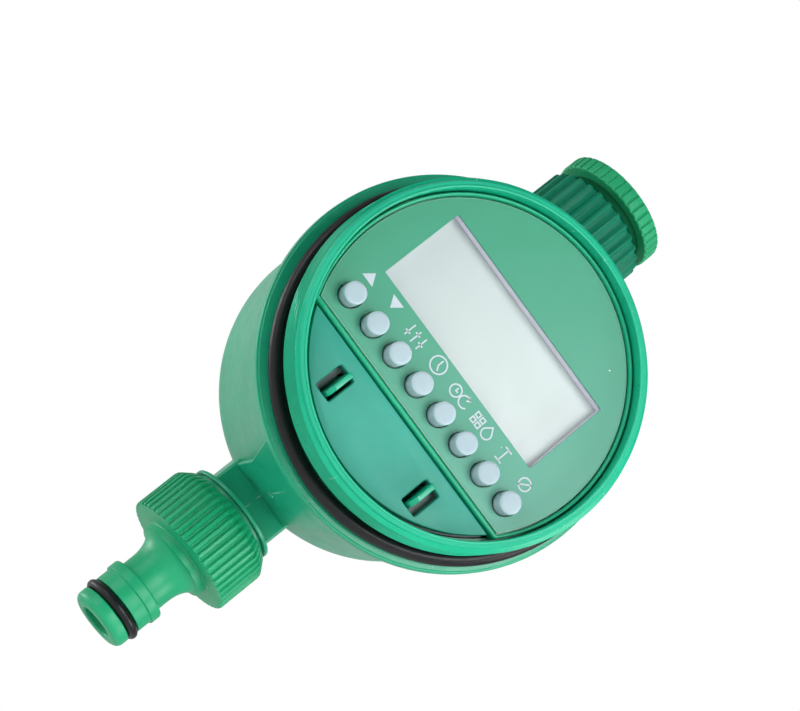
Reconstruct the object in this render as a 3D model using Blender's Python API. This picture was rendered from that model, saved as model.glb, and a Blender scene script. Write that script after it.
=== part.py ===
"""Drip irrigation timer: a bowl housing with a water pipe behind a round control face.

+Z runs up the water pipe towards the tap, the face looks along -Y and +X is to the face's right.
The origin is the middle of the inlet mouth. Every length below is in millimetres: MM turns it
into metres when a mesh is made. A depth is measured back from the control face, and a height is
measured from the face's centre.
"""

import math

import bmesh
import bpy
from mathutils import Matrix, Vector

MM = 0.001
GAP = 0.3

# Where the face lies: its plane along Y, and its centre along Z.
FACE_Y = -66.5
FACE_Z = -85.2

# Threaded neck and flange of the housing, turned about the face's axis.
NECK_FRONT = -4.0
NECK_BORE = 40.3
NECK_LIP = 42.0
THREAD_CREST = 43.2
THREAD_ROOT = 42.3
COVER_PITCH = 2.0
COVER_TURNS = 5
SHELF_DEPTH = 3.2
INNER_BORE = 39.4
GROOVE_ROOT = 40.9
GROOVE_FRONT = 9.2
FLANGE_FRONT = 13.8
FLANGE_BACK = 17.0
FLANGE_R = 46.6

# Bowl behind the flange.
BOWL_FRONT_R = 44.4
BOWL_BACK_R = 41.9
BOWL_CORNER = 62.5
BOWL_DEPTH = 84.0
BOWL_FLAT_R = 21.9
WALL = 2.3

# Cover seal in the groove under the thread.
SEAL_CORD_R = 1.6
SEAL_R = 42.8

# Water pipe.
PIPE_BORE = 5.5
PIPE_R = 9.5
NECK_HALF = 10.0
NECK_FRONT_Y = -8.0
NECK_BACK_Y = 10.0
NECK_CHAMFER = 2.2
OUTLET_COLLAR_TOP = -48.3
OUTLET_COLLAR_R = 13.4
SPIGOT_END = -61.0
SPIGOT_ROOT = 12.2
SPIGOT_CREST = 12.9
PIPE_PITCH = 1.814
INLET_SPIGOT_R = 9.6
INLET_SPIGOT_END = 60.0

# Outlet connector, from its open end down to the nose.
CONNECTOR_TOP = -50.9
CONNECTOR_R = 16.4
CONNECTOR_BORE = 13.3
CONNECTOR_FACE = -66.0
CONNECTOR_FLOOR = -64.0
CONNECTOR_RIBS = 50
STUB_R = 10.4
STUB_END = -68.3
WAIST_R = 7.0
WAIST_TOP = -74.8
COLLAR_TOP = -78.5
COLLAR_R = 8.6
COLLAR_END = -81.4
BODY_R = 8.1
O_RING_TOP = -85.2
O_RING_GROOVE = 3.1
O_RING_ROOT = 6.1
O_RING_CORD_R = 1.25
O_RING_R = 7.6
NOSE_END = -91.9
NOSE_ROUND = 2.2
NOSE_BORE = 4.4

# Inlet coupling nut and adaptor.
NUT_R = 16.5
NUT_END = 53.0
NUT_LIP = 56.6
NUT_TOP = 77.3
NUT_BORE = 13.1
NUT_LIP_BORE = 10.0
NUT_RIBS = 28
ADAPTOR_END = 63.0
ADAPTOR_THREAD_R = 12.7
ADAPTOR_THROAT_R = 13.8
ADAPTOR_RIM = 80.4
ADAPTOR_TOP = 85.2
ADAPTOR_R = 16.2
ADAPTOR_RIBS = 40
ADAPTOR_BORE = 10.6
ADAPTOR_SEAT = 73.5
ADAPTOR_WAY = 7.0

# Control panel.
PANEL_R = 40.0
PANEL_BACK = 2.9
BEAD_FRONT = -0.9
FACE_R = 38.75
FACE_CHORD = -19.3
PANEL_CHORD = -20.9
OVERLAY = 0.35
WINDOW_X = -0.9
WINDOW_Z = 7.9
WINDOW_HALF_X = 28.0
WINDOW_HALF_Z = 11.45
LCD_DEPTH = 3.7
BUTTON_Z = -13.5
BUTTON_PITCH = 8.43
BUTTON_R = 2.65
BUTTON_HOLE_R = 3.0
BUTTON_FRONT = -4.0
BUTTON_BACK = 4.6
BUTTON_FLANGE_R = 3.7
BUTTON_TRAVEL = 1.0
BUTTON_NAMES = ("up", "down", "set", "clock", "adjust", "mode", "on", "off")
BOARD_FRONT = 9.0
BOARD_THICK = 1.6
BOARD_R = 37.6
BOARD_CHORD = -20.0
POSTS = ((-22.0, 27.6), (22.0, 27.6), (-35.3, -4.5), (35.3, -4.5))

# Battery drawer and its compartment.
DRAWER_R = 38.9
DRAWER_CHORD = -21.2
DRAWER_THICK = 2.3
SLOT_X = 16.15
SLOT_Z = -28.9
SLOT_HALF_X = 2.45
SLOT_HALF_Z = 3.85
TRAY_HALF = 13.0
TRAY_TOP = -23.4
TRAY_FLOOR = -34.9
TRAY_END = 51.0
SLEEVE_HALF = 14.5
SLEEVE_TOP = -21.8
SLEEVE_FLOOR = -36.2
SLEEVE_END = 54.0
SLEEVE_WALL = 1.2
FRAME_FRONT = 3.5
FRAME_BACK = 5.1
CELL_R = 5.25
CELL_LENGTH = 44.5
CELL_X = 5.7
CELL_Z = -28.6
LATCH_X = 15.55
LATCH_HALF = 0.65
LATCH_FRONT = -3.0
LATCH_PIVOT = 13.0

# Valve, all about one axis along Y at this height above the face's centre.
VALVE_Z = 4.0
BALL_R = 8.6
BALL_BORE = 4.6
STEM_R = 3.0
CHAMBER_R = 10.5
TOWER_HALF = 14.5
TOWER_FRONT = -16.0
SEAT_R = 7.7
SEAT_BORE = 5.7
SEAT_END = 12.2
BONNET_SCREW = 11.8

# Gear train. Each stage lies in its own layer in front of the bonnet.
MODULE = 0.8
OUTPUT_TEETH = 30
WHEEL_TEETH = 24
PINION_TEETH = 10
MOTOR_TEETH = 8
ROOT_SHARE = 0.31
TIP_SHARE = 0.12
LAYERS = (-23.4, -27.1, -30.4)
LAYER_THICK = (3.2, 2.8, 2.8)
PLATE_THICK = 1.6
REAR_PLATE = -21.4
FRONT_PLATE = -33.9
MIDDLE_ANGLE = 130.0
FIRST_ANGLE = 20.0
MOTOR_ANGLE = 0.0
GEAR_PIN_R = 1.0
PLATE_POSTS = ((-19.0, -5.0), (19.0, -5.0), (-17.5, 29.0), (20.0, 29.5))
MOTOR_R = 7.6
MOTOR_FLAT = 5.6
MOTOR_LENGTH = 16.0

materials = {}


def clear_scene():
    for obj in list(bpy.data.objects):
        bpy.data.objects.remove(obj, do_unlink=True)


def plastic(name, colour, roughness=0.4, metallic=0.0):
    if name not in materials:
        made = bpy.data.materials.new(name)
        made.use_nodes = True
        shader = made.node_tree.nodes["Principled BSDF"]
        shader.inputs["Base Color"].default_value = (*colour, 1.0)
        shader.inputs["Roughness"].default_value = roughness
        shader.inputs["Metallic"].default_value = metallic
        materials[name] = made
    return materials[name]


def green():
    return plastic("housing_green", (0.012, 0.39, 0.19), 0.35)


def panel_green():
    return plastic("panel_green", (0.10, 0.42, 0.27), 0.5)


def connector_green():
    return plastic("connector_green", (0.01, 0.31, 0.13), 0.4)


def nut_green():
    return plastic("nut_green", (0.01, 0.2, 0.11), 0.4)


def adaptor_green():
    return plastic("adaptor_green", (0.03, 0.28, 0.10), 0.45)


def grey():
    return plastic("inner_grey", (0.28, 0.28, 0.28), 0.5)


def pale():
    return plastic("button_grey", (0.5, 0.56, 0.59), 0.5)


def rubber():
    return plastic("black_rubber", (0.012, 0.012, 0.014), 0.6)


def white():
    return plastic("white_plastic", (0.75, 0.75, 0.72), 0.5)


def steel():
    return plastic("steel", (0.6, 0.6, 0.62), 0.3, 1.0)


def glass():
    return plastic("display_glass", (0.55, 0.62, 0.6), 0.15)


def board_green():
    return plastic("board_green", (0.02, 0.18, 0.06), 0.5)


def black():
    return plastic("black_plastic", (0.02, 0.02, 0.02), 0.45)


def red():
    return plastic("red_cover", (0.5, 0.02, 0.02), 0.5)


def depth(value):
    """The Y of a depth behind the control face."""
    return FACE_Y + value


def height(value):
    """The Z of a height above the face's centre."""
    return FACE_Z + value


def finish_object(name, mesh_builder, material, location=(0, 0, 0), helper=False):
    """Turns a builder in millimetres into an object in metres, with its origin at location."""
    bmesh.ops.remove_doubles(mesh_builder, verts=mesh_builder.verts, dist=1e-5)
    bmesh.ops.recalc_face_normals(mesh_builder, faces=mesh_builder.faces)
    bmesh.ops.scale(mesh_builder, vec=(MM, MM, MM), verts=mesh_builder.verts)
    mesh = bpy.data.meshes.new(name)
    mesh_builder.to_mesh(mesh)
    mesh_builder.free()
    mesh.shade_smooth()
    mesh.set_sharp_from_angle(angle=math.radians(35))
    mesh.materials.append(material)
    obj = bpy.data.objects.new(name, mesh)
    bpy.context.scene.collection.objects.link(obj)
    obj.location = Vector(location) * MM
    if helper:
        obj.hide_render = True
        obj.display_type = "WIRE"
    return obj


def turn_to(axis):
    """The rotation that carries a solid built about Z onto another axis."""
    turns = {"Z": Matrix.Identity(3), "Y": Matrix.Rotation(math.radians(-90), 3, "X")}
    turns["X"] = Matrix.Rotation(math.radians(90), 3, "Y")
    return turns[axis]


def turned(name, outline, material, axis="Z", location=(0, 0, 0), steps=48, helper=False):
    """A solid of revolution from (radius, position) points, closed where it leaves the axis."""
    builder = bmesh.new()
    verts = [builder.verts.new((radius, 0, along)) for radius, along in outline]
    edges = [builder.edges.new(pair) for pair in zip(verts, verts[1:])]
    if outline[0][0] > 0 or outline[-1][0] > 0:
        edges.append(builder.edges.new((verts[-1], verts[0])))
    bmesh.ops.spin(
        builder, geom=verts + edges, cent=(0, 0, 0), axis=(0, 0, 1), angle=2 * math.pi, steps=steps
    )
    bmesh.ops.remove_doubles(builder, verts=builder.verts, dist=1e-4)
    bmesh.ops.rotate(builder, cent=(0, 0, 0), matrix=turn_to(axis), verts=builder.verts)
    return finish_object(name, builder, material, location, helper)


def prism(name, outline, low, high, material, axis="Y", location=(0, 0, 0), helper=False):
    """An outline of (across, up) points extruded along axis from low to high."""
    builder = bmesh.new()
    place = {
        "X": lambda across, up: (low, across, up),
        "Y": lambda across, up: (across, low, up),
        "Z": lambda across, up: (across, up, low),
    }[axis]
    along = {"X": (high - low, 0, 0), "Y": (0, high - low, 0), "Z": (0, 0, high - low)}[axis]
    face = builder.faces.new([builder.verts.new(place(across, up)) for across, up in outline])
    grown = bmesh.ops.extrude_face_region(builder, geom=[face])
    moved = [item for item in grown["geom"] if isinstance(item, bmesh.types.BMVert)]
    bmesh.ops.translate(builder, vec=along, verts=moved)
    return finish_object(name, builder, material, location, helper)


def block(name, low, high, material, helper=False):
    """A box between two corners, with its origin at its own centre."""
    builder = bmesh.new()
    bmesh.ops.create_cube(builder, size=1)
    sides = [top - bottom for bottom, top in zip(low, high)]
    bmesh.ops.scale(builder, vec=sides, verts=builder.verts)
    centre = [(top + bottom) / 2 for bottom, top in zip(low, high)]
    return finish_object(name, builder, material, centre, helper)


def combine(target, tool, operation):
    """One Boolean. The housing's many shared planes leave open edges with the EXACT solver."""
    modifier = target.modifiers.new(tool.name, "BOOLEAN")
    modifier.operation = operation
    modifier.object = tool
    modifier.solver = "MANIFOLD" if target.name == "housing" else "EXACT"


def cut(target, *tools):
    for tool in tools:
        combine(target, tool, "DIFFERENCE")


def join(target, *tools):
    for tool in tools:
        combine(target, tool, "UNION")


def drill(name, radius, low, high, axis, location, steps=32):
    """A helper rod used to cut a round hole."""
    outline = [(0, low), (radius, low), (radius, high), (0, high)]
    return turned(name, outline, steel(), axis, location, steps, helper=True)


def circle_points(radius, start, end, count):
    """Points on a circle between two angles in degrees, counted round from +X."""
    angles = [math.radians(start + (end - start) * step / (count - 1)) for step in range(count)]
    return [(radius * math.cos(angle), radius * math.sin(angle)) for angle in angles]


def above_chord(radius, chord, count=31):
    """The part of a disc above a chord, as (x, z) points about the face's centre."""
    corner = math.degrees(math.asin(chord / radius))
    return circle_points(radius, corner, 180 - corner, count)


def below_chord(radius, chord, count=25):
    corner = math.degrees(math.asin(chord / radius))
    return circle_points(radius, 180 - corner, 360 + corner, count)


def rectangle(centre_x, centre_z, half_x, half_z):
    low_x, high_x = centre_x - half_x, centre_x + half_x
    low_z, high_z = centre_z - half_z, centre_z + half_z
    return [(low_x, low_z), (high_x, low_z), (high_x, high_z), (low_x, high_z)]


def bowl_radius(at_depth):
    """Outer radius of the bowl's straight wall."""
    share = (at_depth - FLANGE_BACK) / (BOWL_CORNER - FLANGE_BACK)
    return BOWL_FRONT_R + (BOWL_BACK_R - BOWL_FRONT_R) * share


def bowl_corner(inset, steps=4):
    """(radius, depth) points round the bowl's back edge, moved inwards by inset."""
    points = []
    for step in range(steps + 1):
        angle = math.radians(90 * step / steps)
        radius = BOWL_FLAT_R + (BOWL_BACK_R - inset - BOWL_FLAT_R) * math.cos(angle)
        points.append((radius, BOWL_CORNER + (BOWL_DEPTH - inset - BOWL_CORNER) * math.sin(angle)))
    return points


def housing_outline():
    """The outside of the bowl, flange and threaded neck, and the cavity in it, as (radius, depth)."""
    outer = [(0, NECK_FRONT), (NECK_LIP, NECK_FRONT), (THREAD_ROOT, NECK_FRONT + 0.6)]
    for turn in range(COVER_TURNS):
        middle = NECK_FRONT + 1.8 + COVER_PITCH * turn
        outer += [(THREAD_CREST, middle), (THREAD_ROOT, middle + COVER_PITCH / 2)]
    outer += [(THREAD_ROOT, GROOVE_FRONT), (GROOVE_ROOT, GROOVE_FRONT + 0.2)]
    outer += [(GROOVE_ROOT, FLANGE_FRONT), (FLANGE_R - 0.5, FLANGE_FRONT)]
    outer += [(FLANGE_R, FLANGE_FRONT + 0.5), (FLANGE_R, FLANGE_BACK - 0.5)]
    outer += [(FLANGE_R - 0.5, FLANGE_BACK), (BOWL_FRONT_R, FLANGE_BACK)]
    outer += bowl_corner(0) + [(0, BOWL_DEPTH)]
    inner = [(0, NECK_FRONT - 1), (NECK_BORE, NECK_FRONT - 1), (NECK_BORE, SHELF_DEPTH)]
    inner += [(INNER_BORE, SHELF_DEPTH), (INNER_BORE, FLANGE_BACK + 1)]
    inner += [(BOWL_FRONT_R - WALL, FLANGE_BACK + 5)] + bowl_corner(WALL)
    inner.append((0, BOWL_DEPTH - WALL))
    return outer, inner


def neck_box(name, low, high):
    """The square stretch of pipe between the bowl and a pipe end, with bevelled corners."""
    half, chamfer = NECK_HALF, NECK_CHAMFER
    front, back = NECK_FRONT_Y, NECK_BACK_Y
    outline = [(-half + chamfer, front), (half - chamfer, front), (half, front + chamfer)]
    outline += [(half, back - chamfer), (half - chamfer, back), (-half + chamfer, back)]
    outline += [(-half, back - chamfer), (-half, front + chamfer)]
    return prism(name, outline, height(low), height(high), green(), "Z", helper=True)


def neck_pad(name, side):
    """The raised pad on the bowl's wall that flares from the square neck to the flange."""
    builder = bmesh.new()
    stations = ((FLANGE_BACK - 0.5, 13.5), (FLANGE_BACK + 4, 11.6), (FLANGE_BACK + 14, 10.4))
    stations += ((-FACE_Y + NECK_FRONT_Y + 1.0, NECK_HALF - 0.4),)
    rings = []
    for at_depth, half in stations:
        inside = FACE_Z + side * (BOWL_BACK_R - WALL)
        outside = FACE_Z + side * (bowl_radius(at_depth) + 0.3)
        corners = ((-half, inside), (half, inside), (half, outside), (-half, outside))
        rings.append([builder.verts.new((x, depth(at_depth), z)) for x, z in corners])
    for ring, after in zip(rings, rings[1:]):
        for here in range(4):
            there = (here + 1) % 4
            builder.faces.new((ring[here], ring[there], after[there], after[here]))
    builder.faces.new(rings[0])
    builder.faces.new(rings[-1])
    return finish_object(name, builder, green(), helper=True)


def outlet_spigot():
    """The male thread of the outlet, turned about the pipe, with its thin collar."""
    points = [(0, OUTLET_COLLAR_TOP), (OUTLET_COLLAR_R, OUTLET_COLLAR_TOP)]
    points += [(OUTLET_COLLAR_R, OUTLET_COLLAR_TOP - 1.3), (SPIGOT_ROOT, OUTLET_COLLAR_TOP - 1.3)]
    turns = int((OUTLET_COLLAR_TOP - 2 - SPIGOT_END) / PIPE_PITCH)
    for turn in range(turns):
        middle = OUTLET_COLLAR_TOP - 2.2 - PIPE_PITCH * (turn + 0.4)
        points += [(SPIGOT_CREST, middle), (SPIGOT_ROOT, middle - PIPE_PITCH / 2)]
    points += [(SPIGOT_ROOT, SPIGOT_END), (0, SPIGOT_END)]
    return turned("outlet_thread", points, green(), location=(0, 0, FACE_Z), steps=24, helper=True)


def inlet_spigot():
    """The plain end of the inlet, with the groove that holds the nut's retaining ring."""
    points = [(0, 48.0), (INLET_SPIGOT_R, 48.0), (INLET_SPIGOT_R, 57.2), (8.4, 57.2), (8.4, 59.2)]
    points += [(INLET_SPIGOT_R, 59.2), (INLET_SPIGOT_R, INLET_SPIGOT_END), (0, INLET_SPIGOT_END)]
    return turned("inlet_end", points, green(), location=(0, 0, FACE_Z), steps=24, helper=True)


def housing():
    outer, inner = housing_outline()
    place = (0, FACE_Y, FACE_Z)
    shell = turned("housing", outer, green(), "Y", place, 44)
    cut(shell, turned("cavity", inner, green(), "Y", place, 44, helper=True))
    tower_low = (-TOWER_HALF, TOWER_FRONT, height(VALVE_Z - TOWER_HALF))
    tower_high = (TOWER_HALF, depth(BOWL_DEPTH) - 1, height(VALVE_Z + TOWER_HALF))
    join(shell, block("valve_tower", tower_low, tower_high, green(), helper=True))
    pipe = [(0, -40.5), (PIPE_R, -40.5), (PIPE_R, 40.5), (0, 40.5)]
    join(shell, turned("inner_pipe", pipe, green(), location=(0, 0, FACE_Z), steps=24, helper=True))
    join(shell, neck_box("outlet_neck", OUTLET_COLLAR_TOP - 0.5, -35.5), neck_box("inlet_neck", 35.5, 50.4))
    join(shell, neck_pad("outlet_pad", -1), neck_pad("inlet_pad", 1))
    join(shell, outlet_spigot(), inlet_spigot())
    for index, (across, up) in enumerate(PLATE_POSTS[:2]):
        boss = [(0, REAR_PLATE + GAP), (3.8, REAR_PLATE + GAP), (3.8, 16.0), (0, 16.0)]
        place = (across, 0, height(up))
        join(shell, turned(f"gearbox_boss_{index}", boss, green(), "Y", place, 12, helper=True))
        cut(shell, drill(f"boss_hole_{index}", 1.7, REAR_PLATE - 1, -6.0, "Y", place, 8))
    valve = (0, 0, height(VALVE_Z))
    cut(shell, drill("pipe_bore", PIPE_BORE, -75.0, 75.0, "Z", (0, 0, FACE_Z), 20))
    cut(shell, drill("valve_chamber", CHAMBER_R, TOWER_FRONT - 1, 9.5, "Y", valve, 28))
    seat_cut = SEAT_R + GAP
    cut(shell, drill("seat_bore", seat_cut, -SEAT_END - GAP, SEAT_END + GAP, "Z", valve, 24))
    for index, (across, up) in enumerate(bonnet_corners()):
        place = (across, 0, height(up))
        cut(shell, drill(f"bonnet_hole_{index}", 1.4, TOWER_FRONT - 1, -8.0, "Y", place, 8))
    return shell


def bonnet_corners():
    span = BONNET_SCREW
    return [(across * span, VALVE_Z + up * span) for across, up in ((-1, -1), (1, -1), (-1, 1), (1, 1))]


def ring(name, centre_r, cord_r, material, axis, location, steps, sides):
    """An O-ring: a round cord bent round an axis."""
    outline = []
    for side in range(sides):
        angle = 2 * math.pi * side / sides
        outline.append((centre_r + cord_r * math.cos(angle), cord_r * math.sin(angle)))
    return turned(name, outline, material, axis, location, steps)


def washer(name, inner, outer, low, high, material, steps=24, axis="Z", location=(0, 0, FACE_Z)):
    outline = [(inner, low), (outer, low), (outer, high), (inner, high)]
    return turned(name, outline, material, axis, location, steps)


def rib_band(name, radius, rib_depth, ribs, tip_share, low, high, material):
    """A disc with shallow ribs round its edge, to be joined to a nut. With no tip they are V ribs."""
    root = radius - rib_depth
    corners = ((0, radius), (0.5, root))
    if tip_share:
        corners = ((0, radius), (tip_share, radius), (tip_share + 0.1, root), (0.9, root))
    points = [polar(reach, 360 * (rib + share) / ribs) for rib in range(ribs) for share, reach in corners]
    return prism(name, points, height(low), height(high), material, "Z", helper=True)


def nose_profile():
    """The connector's nose, rounded from its side to its flat end, as (radius, height)."""
    points = []
    for step in range(4):
        angle = math.radians(90 * step / 3)
        radius = BODY_R - NOSE_ROUND + NOSE_ROUND * math.cos(angle)
        points.append((radius, NOSE_END + NOSE_ROUND - NOSE_ROUND * math.sin(angle)))
    return points


def waist_profile():
    """The hollow flare from the stub down to the waist, a quarter of an ellipse."""
    points = []
    for step in range(1, 5):
        angle = math.radians(90 * step / 4)
        radius = STUB_R - (STUB_R - WAIST_R) * math.sin(angle)
        points.append((radius, STUB_END + (WAIST_TOP - STUB_END) * (1 - math.cos(angle))))
    return points


def outlet_connector():
    """The outlet nut and its quick-fit nipple in one moulding, with its O-ring and its washer."""
    place = (0, 0, FACE_Z)
    core_r = CONNECTOR_R - 0.9
    outline = [(0, CONNECTOR_TOP), (14.2, CONNECTOR_TOP), (core_r, CONNECTOR_TOP + 14.2 - core_r)]
    outline += [(core_r, CONNECTOR_FACE), (STUB_R, CONNECTOR_FACE), (STUB_R, STUB_END)] + waist_profile()
    outline += [(WAIST_R, COLLAR_TOP), (COLLAR_R - 0.4, COLLAR_TOP), (COLLAR_R, COLLAR_TOP - 0.6)]
    outline += [(COLLAR_R, COLLAR_END + 0.6), (BODY_R, COLLAR_END), (BODY_R, O_RING_TOP)]
    groove_end = O_RING_TOP - O_RING_GROOVE
    outline += [(O_RING_ROOT, O_RING_TOP), (O_RING_ROOT, groove_end), (BODY_R, groove_end)]
    outline += nose_profile() + [(0, NOSE_END)]
    connector = turned("outlet_connector", outline, connector_green(), location=place, steps=28)
    top = CONNECTOR_TOP - 2.8
    band = ("outlet_ribs", CONNECTOR_R, 0.6, CONNECTOR_RIBS, 0, CONNECTOR_FACE + 0.5, top)
    join(connector, rib_band(*band, connector_green()))
    bore = [(0, CONNECTOR_TOP + 1), (CONNECTOR_BORE, CONNECTOR_TOP + 1), (CONNECTOR_BORE, CONNECTOR_FLOOR)]
    bore += [(PIPE_BORE, CONNECTOR_FLOOR), (NOSE_BORE, CONNECTOR_FACE - 1.5), (NOSE_BORE, NOSE_END - 1)]
    bore.append((0, NOSE_END - 1))
    cut(connector, turned("connector_bore", bore, connector_green(), location=place, steps=24, helper=True))
    spot = (0, 0, height(O_RING_TOP - O_RING_GROOVE / 2))
    ring("nipple_o_ring", O_RING_R, O_RING_CORD_R, rubber(), "Z", spot, 24, 6)
    washer("outlet_washer", PIPE_BORE + 0.5, 12.8, CONNECTOR_FLOOR + GAP, SPIGOT_END - GAP, rubber())


def inlet_parts():
    """The coupling nut on the inlet, its retaining ring, filter washer, adaptor and flat washer."""
    place = (0, 0, FACE_Z)
    core_r = NUT_R - 0.7
    outline = [(0, NUT_END), (core_r, NUT_END), (core_r, NUT_TOP), (0, NUT_TOP)]
    nut = turned("inlet_nut", outline, nut_green(), location=place, steps=28)
    band = ("nut_ribs", NUT_R, 0.55, NUT_RIBS, 0.72, NUT_END + 0.8, NUT_TOP - 0.5)
    join(nut, rib_band(*band, nut_green()))
    bore = [(0, NUT_END - 1), (NUT_LIP_BORE, NUT_END - 1), (NUT_LIP_BORE, NUT_LIP), (NUT_BORE, NUT_LIP)]
    bore += [(NUT_BORE, NUT_TOP + 1), (0, NUT_TOP + 1)]
    cut(nut, turned("nut_bore", bore, nut_green(), location=place, steps=24, helper=True))
    washer("nut_retaining_ring", 8.7, 12.2, 57.5, 58.9, steel())
    filter_outline = [(12.6, 60.3), (12.6, 62.7), (4.3, 62.7), (4.3, 60.3), (1.6, 50.6), (0, 50.6)]
    filter_outline += [(0, 50.0), (2.1, 50.0), (5.0, 60.3)]
    turned("filter_washer", filter_outline, rubber(), location=place, steps=24)
    thread, throat = ADAPTOR_THREAD_R, ADAPTOR_THROAT_R
    core_r = ADAPTOR_R - 0.7
    outline = [(0, ADAPTOR_END), (thread - 0.6, ADAPTOR_END), (thread, ADAPTOR_END + 0.6)]
    outline += [(thread, NUT_TOP + GAP), (throat, NUT_TOP + GAP), (throat, ADAPTOR_RIM)]
    outline += [(core_r, ADAPTOR_RIM), (core_r, ADAPTOR_TOP), (0, ADAPTOR_TOP)]
    adaptor = turned("inlet_adaptor", outline, adaptor_green(), location=place, steps=28)
    band = ("adaptor_ribs", ADAPTOR_R, 0.5, ADAPTOR_RIBS, 0, ADAPTOR_RIM + 0.3, ADAPTOR_TOP - 0.4)
    join(adaptor, rib_band(*band, adaptor_green()))
    bore = [(0, ADAPTOR_END - 1), (ADAPTOR_WAY, ADAPTOR_END - 1), (ADAPTOR_WAY, ADAPTOR_SEAT)]
    bore += [(ADAPTOR_BORE, ADAPTOR_SEAT), (ADAPTOR_BORE, ADAPTOR_TOP + 1), (0, ADAPTOR_TOP + 1)]
    cut(adaptor, turned("adaptor_bore", bore, adaptor_green(), location=place, steps=24, helper=True))
    low, high = ADAPTOR_SEAT + GAP, ADAPTOR_SEAT + 2.3
    washer("adaptor_washer", ADAPTOR_WAY - 0.1, ADAPTOR_BORE - GAP, low, high, rubber(), 28)


def button_x(index):
    return BUTTON_PITCH * (index - (len(BUTTON_NAMES) - 1) / 2)


def face_cutters(prefix, half_x, half_z):
    """Helpers that cut the display opening and the row of button holes through a face piece."""
    outline = rectangle(WINDOW_X, WINDOW_Z, half_x, half_z)
    place = (0, 0, FACE_Z)
    tools = [prism(f"{prefix}_opening", outline, depth(-3), depth(6), steel(), location=place, helper=True)]
    for index in range(len(BUTTON_NAMES)):
        hole = (button_x(index), 0, height(BUTTON_Z))
        tools.append(drill(f"{prefix}_hole_{index}", BUTTON_HOLE_R, depth(-3), depth(6), "Y", hole, 16))
    return tools


def control_panel():
    """The green face moulding with its bead, and the thin printed film set inside the bead."""
    place = (0, 0, FACE_Z)
    outer = above_chord(PANEL_R, PANEL_CHORD)
    panel = prism("control_panel", outer, depth(BEAD_FRONT), depth(PANEL_BACK), green(), location=place)
    recess = above_chord(FACE_R, FACE_CHORD)
    recess_ends = (depth(-2), depth(OVERLAY + GAP))
    cut(panel, prism("face_recess", recess, *recess_ends, green(), location=place, helper=True))
    for index, (across, up) in enumerate(POSTS):
        post_end = depth(BOARD_FRONT - GAP)
        post = [(0, depth(1.5)), (2.3, depth(1.5)), (2.3, post_end), (0, post_end)]
        spot = (across, 0, height(up))
        join(panel, turned(f"board_post_{index}", post, green(), "Y", spot, 16, helper=True))
        cut(panel, drill(f"post_hole_{index}", 1.2, depth(4.5), depth(12), "Y", spot, 12))
    cut(panel, *face_cutters("panel", WINDOW_HALF_X + 1.3, WINDOW_HALF_Z + 1.3))
    film = above_chord(FACE_R - 0.15, FACE_CHORD + 0.15)
    overlay = prism("panel_overlay", film, depth(0), depth(OVERLAY), panel_green(), location=place)
    cut(overlay, *face_cutters("overlay", WINDOW_HALF_X, WINDOW_HALF_Z))


def window_block(name, grow, low, high, material, helper=False):
    """A block the size of the display opening, grown on every side."""
    half_x, half_z = WINDOW_HALF_X + grow, WINDOW_HALF_Z + grow
    low_corner = (WINDOW_X - half_x, depth(low), height(WINDOW_Z - half_z))
    high_corner = (WINDOW_X + half_x, depth(high), height(WINDOW_Z + half_z))
    return block(name, low_corner, high_corner, material, helper)


def display():
    """The clear window, the display glass behind it and the pale frame that holds the glass."""
    window_block("display_window", 1.0, OVERLAY + GAP, 1.65, glass())
    frame = window_block("lcd_frame", 2.2, SHELF_DEPTH, 8.3, white())
    join(frame, window_block("frame_collar", 1.0, 1.95, SHELF_DEPTH + 0.5, white(), helper=True))
    cut(frame, window_block("frame_opening", 0.1, 1.0, 5.0, white(), helper=True))
    cut(frame, window_block("glass_pocket", 1.3, LCD_DEPTH - GAP, 9.0, white(), helper=True))
    window_block("lcd_glass", 1.0, LCD_DEPTH, 7.0, glass())


def buttons():
    """Round keys with a flange behind the panel, over one rubber contact mat."""
    for index, word in enumerate(BUTTON_NAMES):
        outline = [(0, BUTTON_FRONT), (BUTTON_R - 0.5, BUTTON_FRONT), (BUTTON_R, BUTTON_FRONT + 0.5)]
        outline += [(BUTTON_R, PANEL_BACK + GAP), (BUTTON_FLANGE_R, PANEL_BACK + GAP)]
        outline += [(BUTTON_FLANGE_R, BUTTON_BACK), (0, BUTTON_BACK)]
        place = (button_x(index), FACE_Y, height(BUTTON_Z))
        turned(f"button_{word}", outline, pale(), "Y", place, 16)
    dome_front = BUTTON_BACK + BUTTON_TRAVEL + GAP
    mat_front, mat_back = BOARD_FRONT - GAP - 1.0, BOARD_FRONT - GAP
    half = button_x(len(BUTTON_NAMES) - 1) + 4.0
    low = (-half, depth(mat_front), height(BUTTON_Z - 3.9))
    mat = block("contact_mat", low, (half, depth(mat_back), height(BUTTON_Z + 3.9)), rubber())
    for index in range(len(BUTTON_NAMES)):
        dome = [(0, dome_front), (1.5, dome_front), (2.2, mat_front + 0.4), (0, mat_front + 0.4)]
        place = (button_x(index), FACE_Y, height(BUTTON_Z))
        join(mat, turned(f"dome_{index}", dome, rubber(), "Y", place, 8, helper=True))


def screw(name, head_r, shank_r, head, length, axis_place):
    """A pan-head screw along +Y with a cross slot, its head's underside at local zero."""
    outline = [(0, -head), (head_r * 0.6, -head), (head_r, -head * 0.5), (head_r, 0)]
    outline += [(shank_r, 0), (shank_r, length - shank_r), (0, length)]
    made = turned(name, outline, steel(), "Y", axis_place, 10)
    across, middle, up = axis_place
    reach = head_r * 0.7
    low = (across - reach, middle - head - 1, up - 0.3)
    high = (across + reach, middle - head * 0.5, up + 0.3)
    cut(made, block(f"{name}_slot", low, high, steel(), helper=True))


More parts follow.
